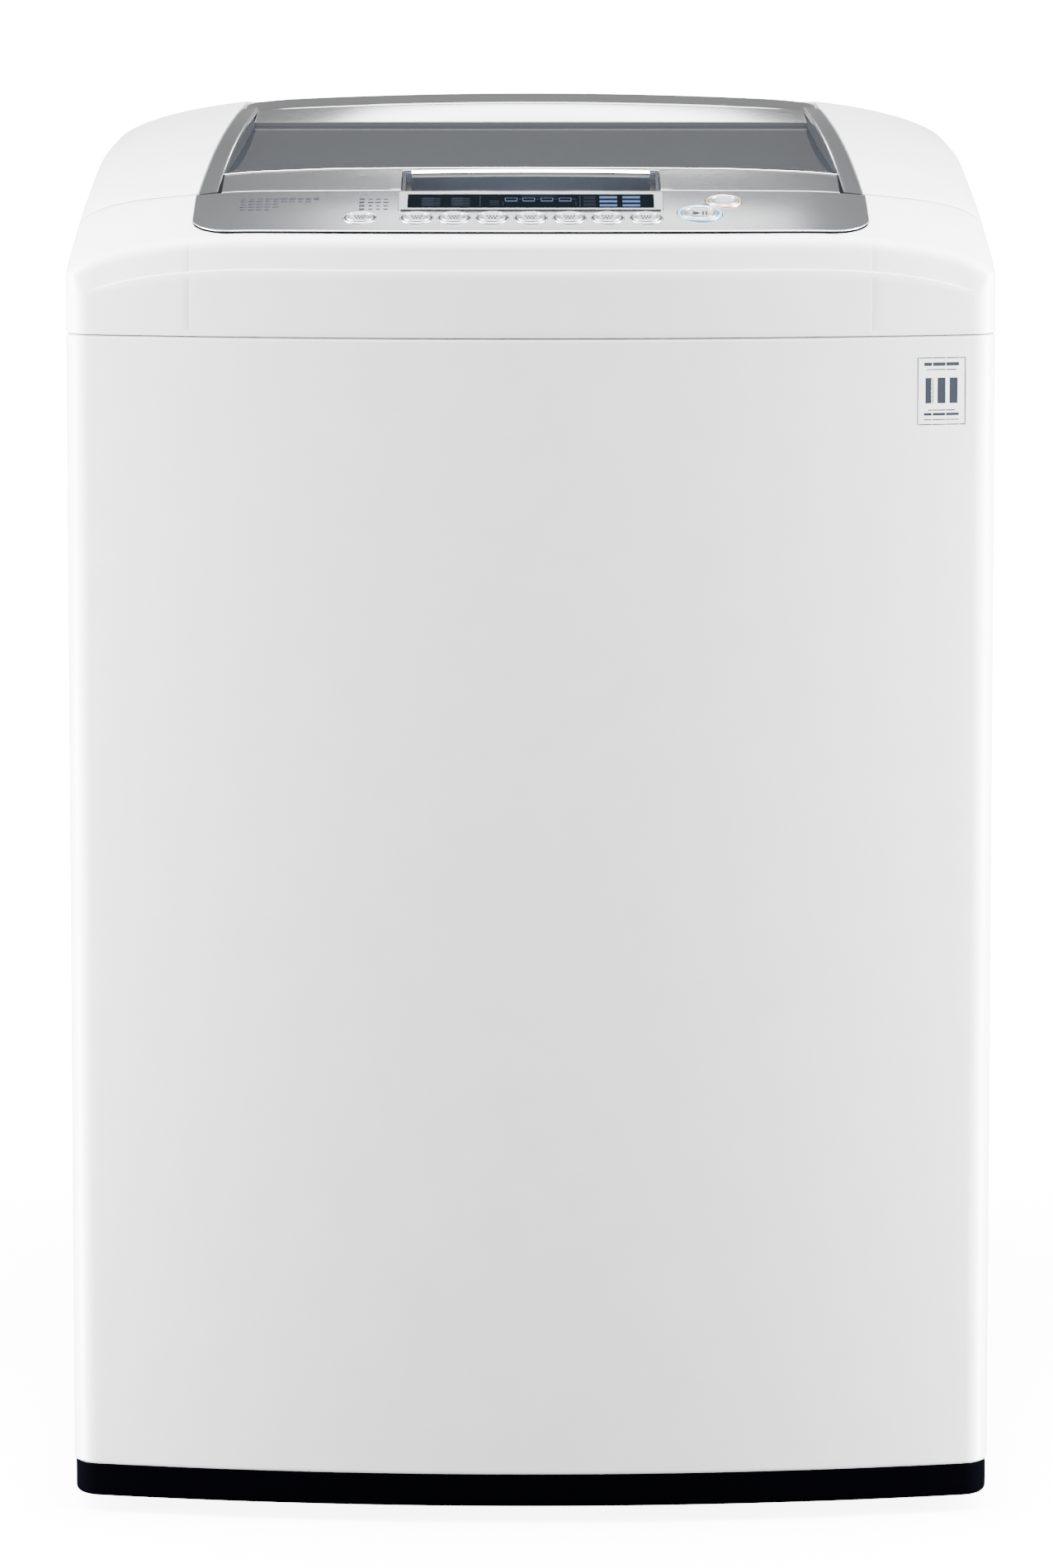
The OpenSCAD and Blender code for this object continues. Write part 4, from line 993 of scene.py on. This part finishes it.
def floor():
    """A plain pale floor that fades into the backdrop away from the machine."""
    mesh = bpy.data.meshes.new("studio_floor")
    mesh.from_pydata([(-30, -30, 0), (30, -30, 0), (30, 60, 0), (-30, 60, 0)], [], [(0, 1, 2, 3)])
    mesh.materials.append(MAT["floor"])
    obj = new_object("studio_floor", mesh)
    obj.visible_diffuse = obj.visible_glossy = False
    nodes, links = MAT["floor"].node_tree.nodes, MAT["floor"].node_tree.links
    shader = nodes["Principled BSDF"]
    shader.inputs["Emission Color"].default_value = (1, 1, 1, 1)
    length = nodes.new("ShaderNodeVectorMath")
    length.operation = "LENGTH"
    place = [n for n in nodes if n.type == "TEX_COORD"][0]
    links.new(place.outputs["Object"], length.inputs[0])
    glow = nodes.new("ShaderNodeMapRange")
    glow.interpolation_type = "SMOOTHSTEP"
    for socket, value in (("From Min", 0.3), ("From Max", 2.2), ("To Min", 7.0), ("To Max", 17.0)):
        glow.inputs[socket].default_value = value
    links.new(length.outputs["Value"], glow.inputs["Value"])
    links.new(glow.outputs["Result"], shader.inputs["Emission Strength"])


def softbox(name, where, look, size, power):
    """A rectangular light that the camera doesn't see, aimed at a place."""
    data = bpy.data.lights.new(name, "AREA")
    data.shape, data.size, data.size_y, data.energy = "RECTANGLE", size[0], size[1], power
    obj = new_object(name, data)
    obj.location = where
    obj.rotation_mode = "QUATERNION"
    obj.rotation_quaternion = (Vector(look) - Vector(where)).to_track_quat("-Z", "Y")
    obj.visible_camera = False


class StudioWorld:
    """Soft light from above and the sides, a dimmer rear, and a white backdrop to the camera."""

    # Radiance at sines of elevation, from straight down to straight up
    AHEAD = ((-1.0, 0.8), (0.0, 0.45), (0.45, 0.45), (0.75, 0.9), (0.88, 8.0), (0.95, 24.0), (1.0, 28.0))
    BEHIND = ((-1.0, 0.6), (0.0, 0.41), (0.2, 0.25), (0.32, 0.34), (0.45, 0.42), (0.62, 0.5), (0.75, 1.0),
              (0.88, 8.0), (0.95, 24.0), (1.0, 28.0))
    BESIDE = ((-1.0, 2.0), (-0.2, 8.0), (0.0, 10.0), (0.5, 9.0), (0.9, 9.0), (1.0, 28.0))
    HIGHEST, BACKDROP = 32.0, 18.0

    def __init__(self):
        world = bpy.data.worlds.new("studio")
        bpy.context.scene.world = world
        world.use_nodes = True
        self.nodes, self.links = world.node_tree.nodes, world.node_tree.links
        self.nodes.clear()
        coord = self.nodes.new("ShaderNodeTexCoord")
        split = self.nodes.new("ShaderNodeSeparateXYZ")
        self.links.new(coord.outputs["Generated"], split.inputs[0])
        self.x, self.y, self.z = split.outputs
        radiance = self.mix(self.step(self.y, -0.2, 0.15), self.ramp(self.AHEAD), self.ramp(self.BEHIND))
        radiance = self.mix(self.step(self.magnitude(self.x), 0.66, 0.92), radiance, self.ramp(self.BESIDE))
        studio, white = (self.nodes.new("ShaderNodeBackground") for _ in range(2))
        self.links.new(radiance, studio.inputs["Strength"])
        white.inputs["Strength"].default_value = self.BACKDROP
        for background in (studio, white):
            background.inputs["Color"].default_value = (1, 1, 1, 1)
        mix = self.nodes.new("ShaderNodeMixShader")
        path = self.nodes.new("ShaderNodeLightPath")
        out = self.nodes.new("ShaderNodeOutputWorld")
        self.links.new(path.outputs["Is Camera Ray"], mix.inputs["Fac"])
        self.links.new(studio.outputs[0], mix.inputs[1])
        self.links.new(white.outputs[0], mix.inputs[2])
        self.links.new(mix.outputs[0], out.inputs["Surface"])

    def ramp(self, stops):
        """A smooth curve of the sine of elevation."""
        curve = self.nodes.new("ShaderNodeFloatCurve")
        self.links.new(self.step(self.z, -1, 1, "LINEAR"), curve.inputs["Value"])
        points = curve.mapping.curves[0].points
        points[0].location = ((stops[0][0] + 1) / 2, stops[0][1] / self.HIGHEST)
        points[1].location = ((stops[-1][0] + 1) / 2, stops[-1][1] / self.HIGHEST)
        for at, radiance in stops[1:-1]:
            points.new((at + 1) / 2, radiance / self.HIGHEST)
        for point in points:
            point.handle_type = "VECTOR"
        curve.mapping.update()
        gain = self.nodes.new("ShaderNodeMath")
        gain.operation = "MULTIPLY"
        gain.inputs[1].default_value = self.HIGHEST
        self.links.new(curve.outputs[0], gain.inputs[0])
        return gain.outputs[0]

    def step(self, source, low, high, kind="SMOOTHSTEP"):
        """Goes from 0 to 1 as the source goes from low to high."""
        node = self.nodes.new("ShaderNodeMapRange")
        node.interpolation_type = kind
        node.inputs["From Min"].default_value, node.inputs["From Max"].default_value = low, high
        self.links.new(source, node.inputs["Value"])
        return node.outputs["Result"]

    def magnitude(self, source):
        node = self.nodes.new("ShaderNodeMath")
        node.operation = "ABSOLUTE"
        self.links.new(source, node.inputs[0])
        return node.outputs[0]

    def mix(self, factor, a, b):
        node = self.nodes.new("ShaderNodeMix")
        self.links.new(factor, node.inputs["Factor"])
        self.links.new(a, node.inputs["A"])
        self.links.new(b, node.inputs["B"])
        return node.outputs["Result"]


def lighting():
    """The studio's world, two lights behind the machine for its top, and a strip and a rim on each side."""
    StudioWorld()
    softbox("rear_panel", (0.06, 3.0, 3.5), (0, 0, 1.0), (0.8, 0.45), 9.5)
    softbox("rear_low", (0.03, 3.0, 1.99), (0, 0.2, 1.02), (0.52, 0.3), 10.5)
    for side, name in ((-1, "left"), (1, "right")):
        softbox(f"{name}_strip", (side * 1.1, -0.62, 0.5), (0, -0.15, 0.5), (0.3, 1.7), 19)
        softbox(f"{name}_rim", (side * 1.0, -0.32, 0.6), (side * 0.3, -0.3, 0.6), (0.28, 2.2), 100)


def camera():
    """A long lens in front of the machine and a little above it."""
    data = bpy.data.cameras.new("photo_camera")
    data.lens, data.sensor_width = 156.7, 36
    data.shift_x, data.shift_y = -0.0027, -0.2
    obj = new_object("photo_camera", data)
    obj.location = (0, -5.324, 1.364)
    obj.rotation_euler = (math.radians(83.41), 0, 0)
    bpy.context.scene.camera = obj


cabinet()
base()
front_label()
control_housing()
top_cover()
seam_painted_shade()
fascia()
display()
display_marks()
buttons()
indicator_marks()
panel_ticks()
button_prints()
lid_frame()
lid_knuckles()
rail_skirts()
front_cap()
cap_slots()
handle_pocket()
handle_ends()
handle_bar()
glass()
rear_trim()
finish_cad()
floor()
lighting()
camera()
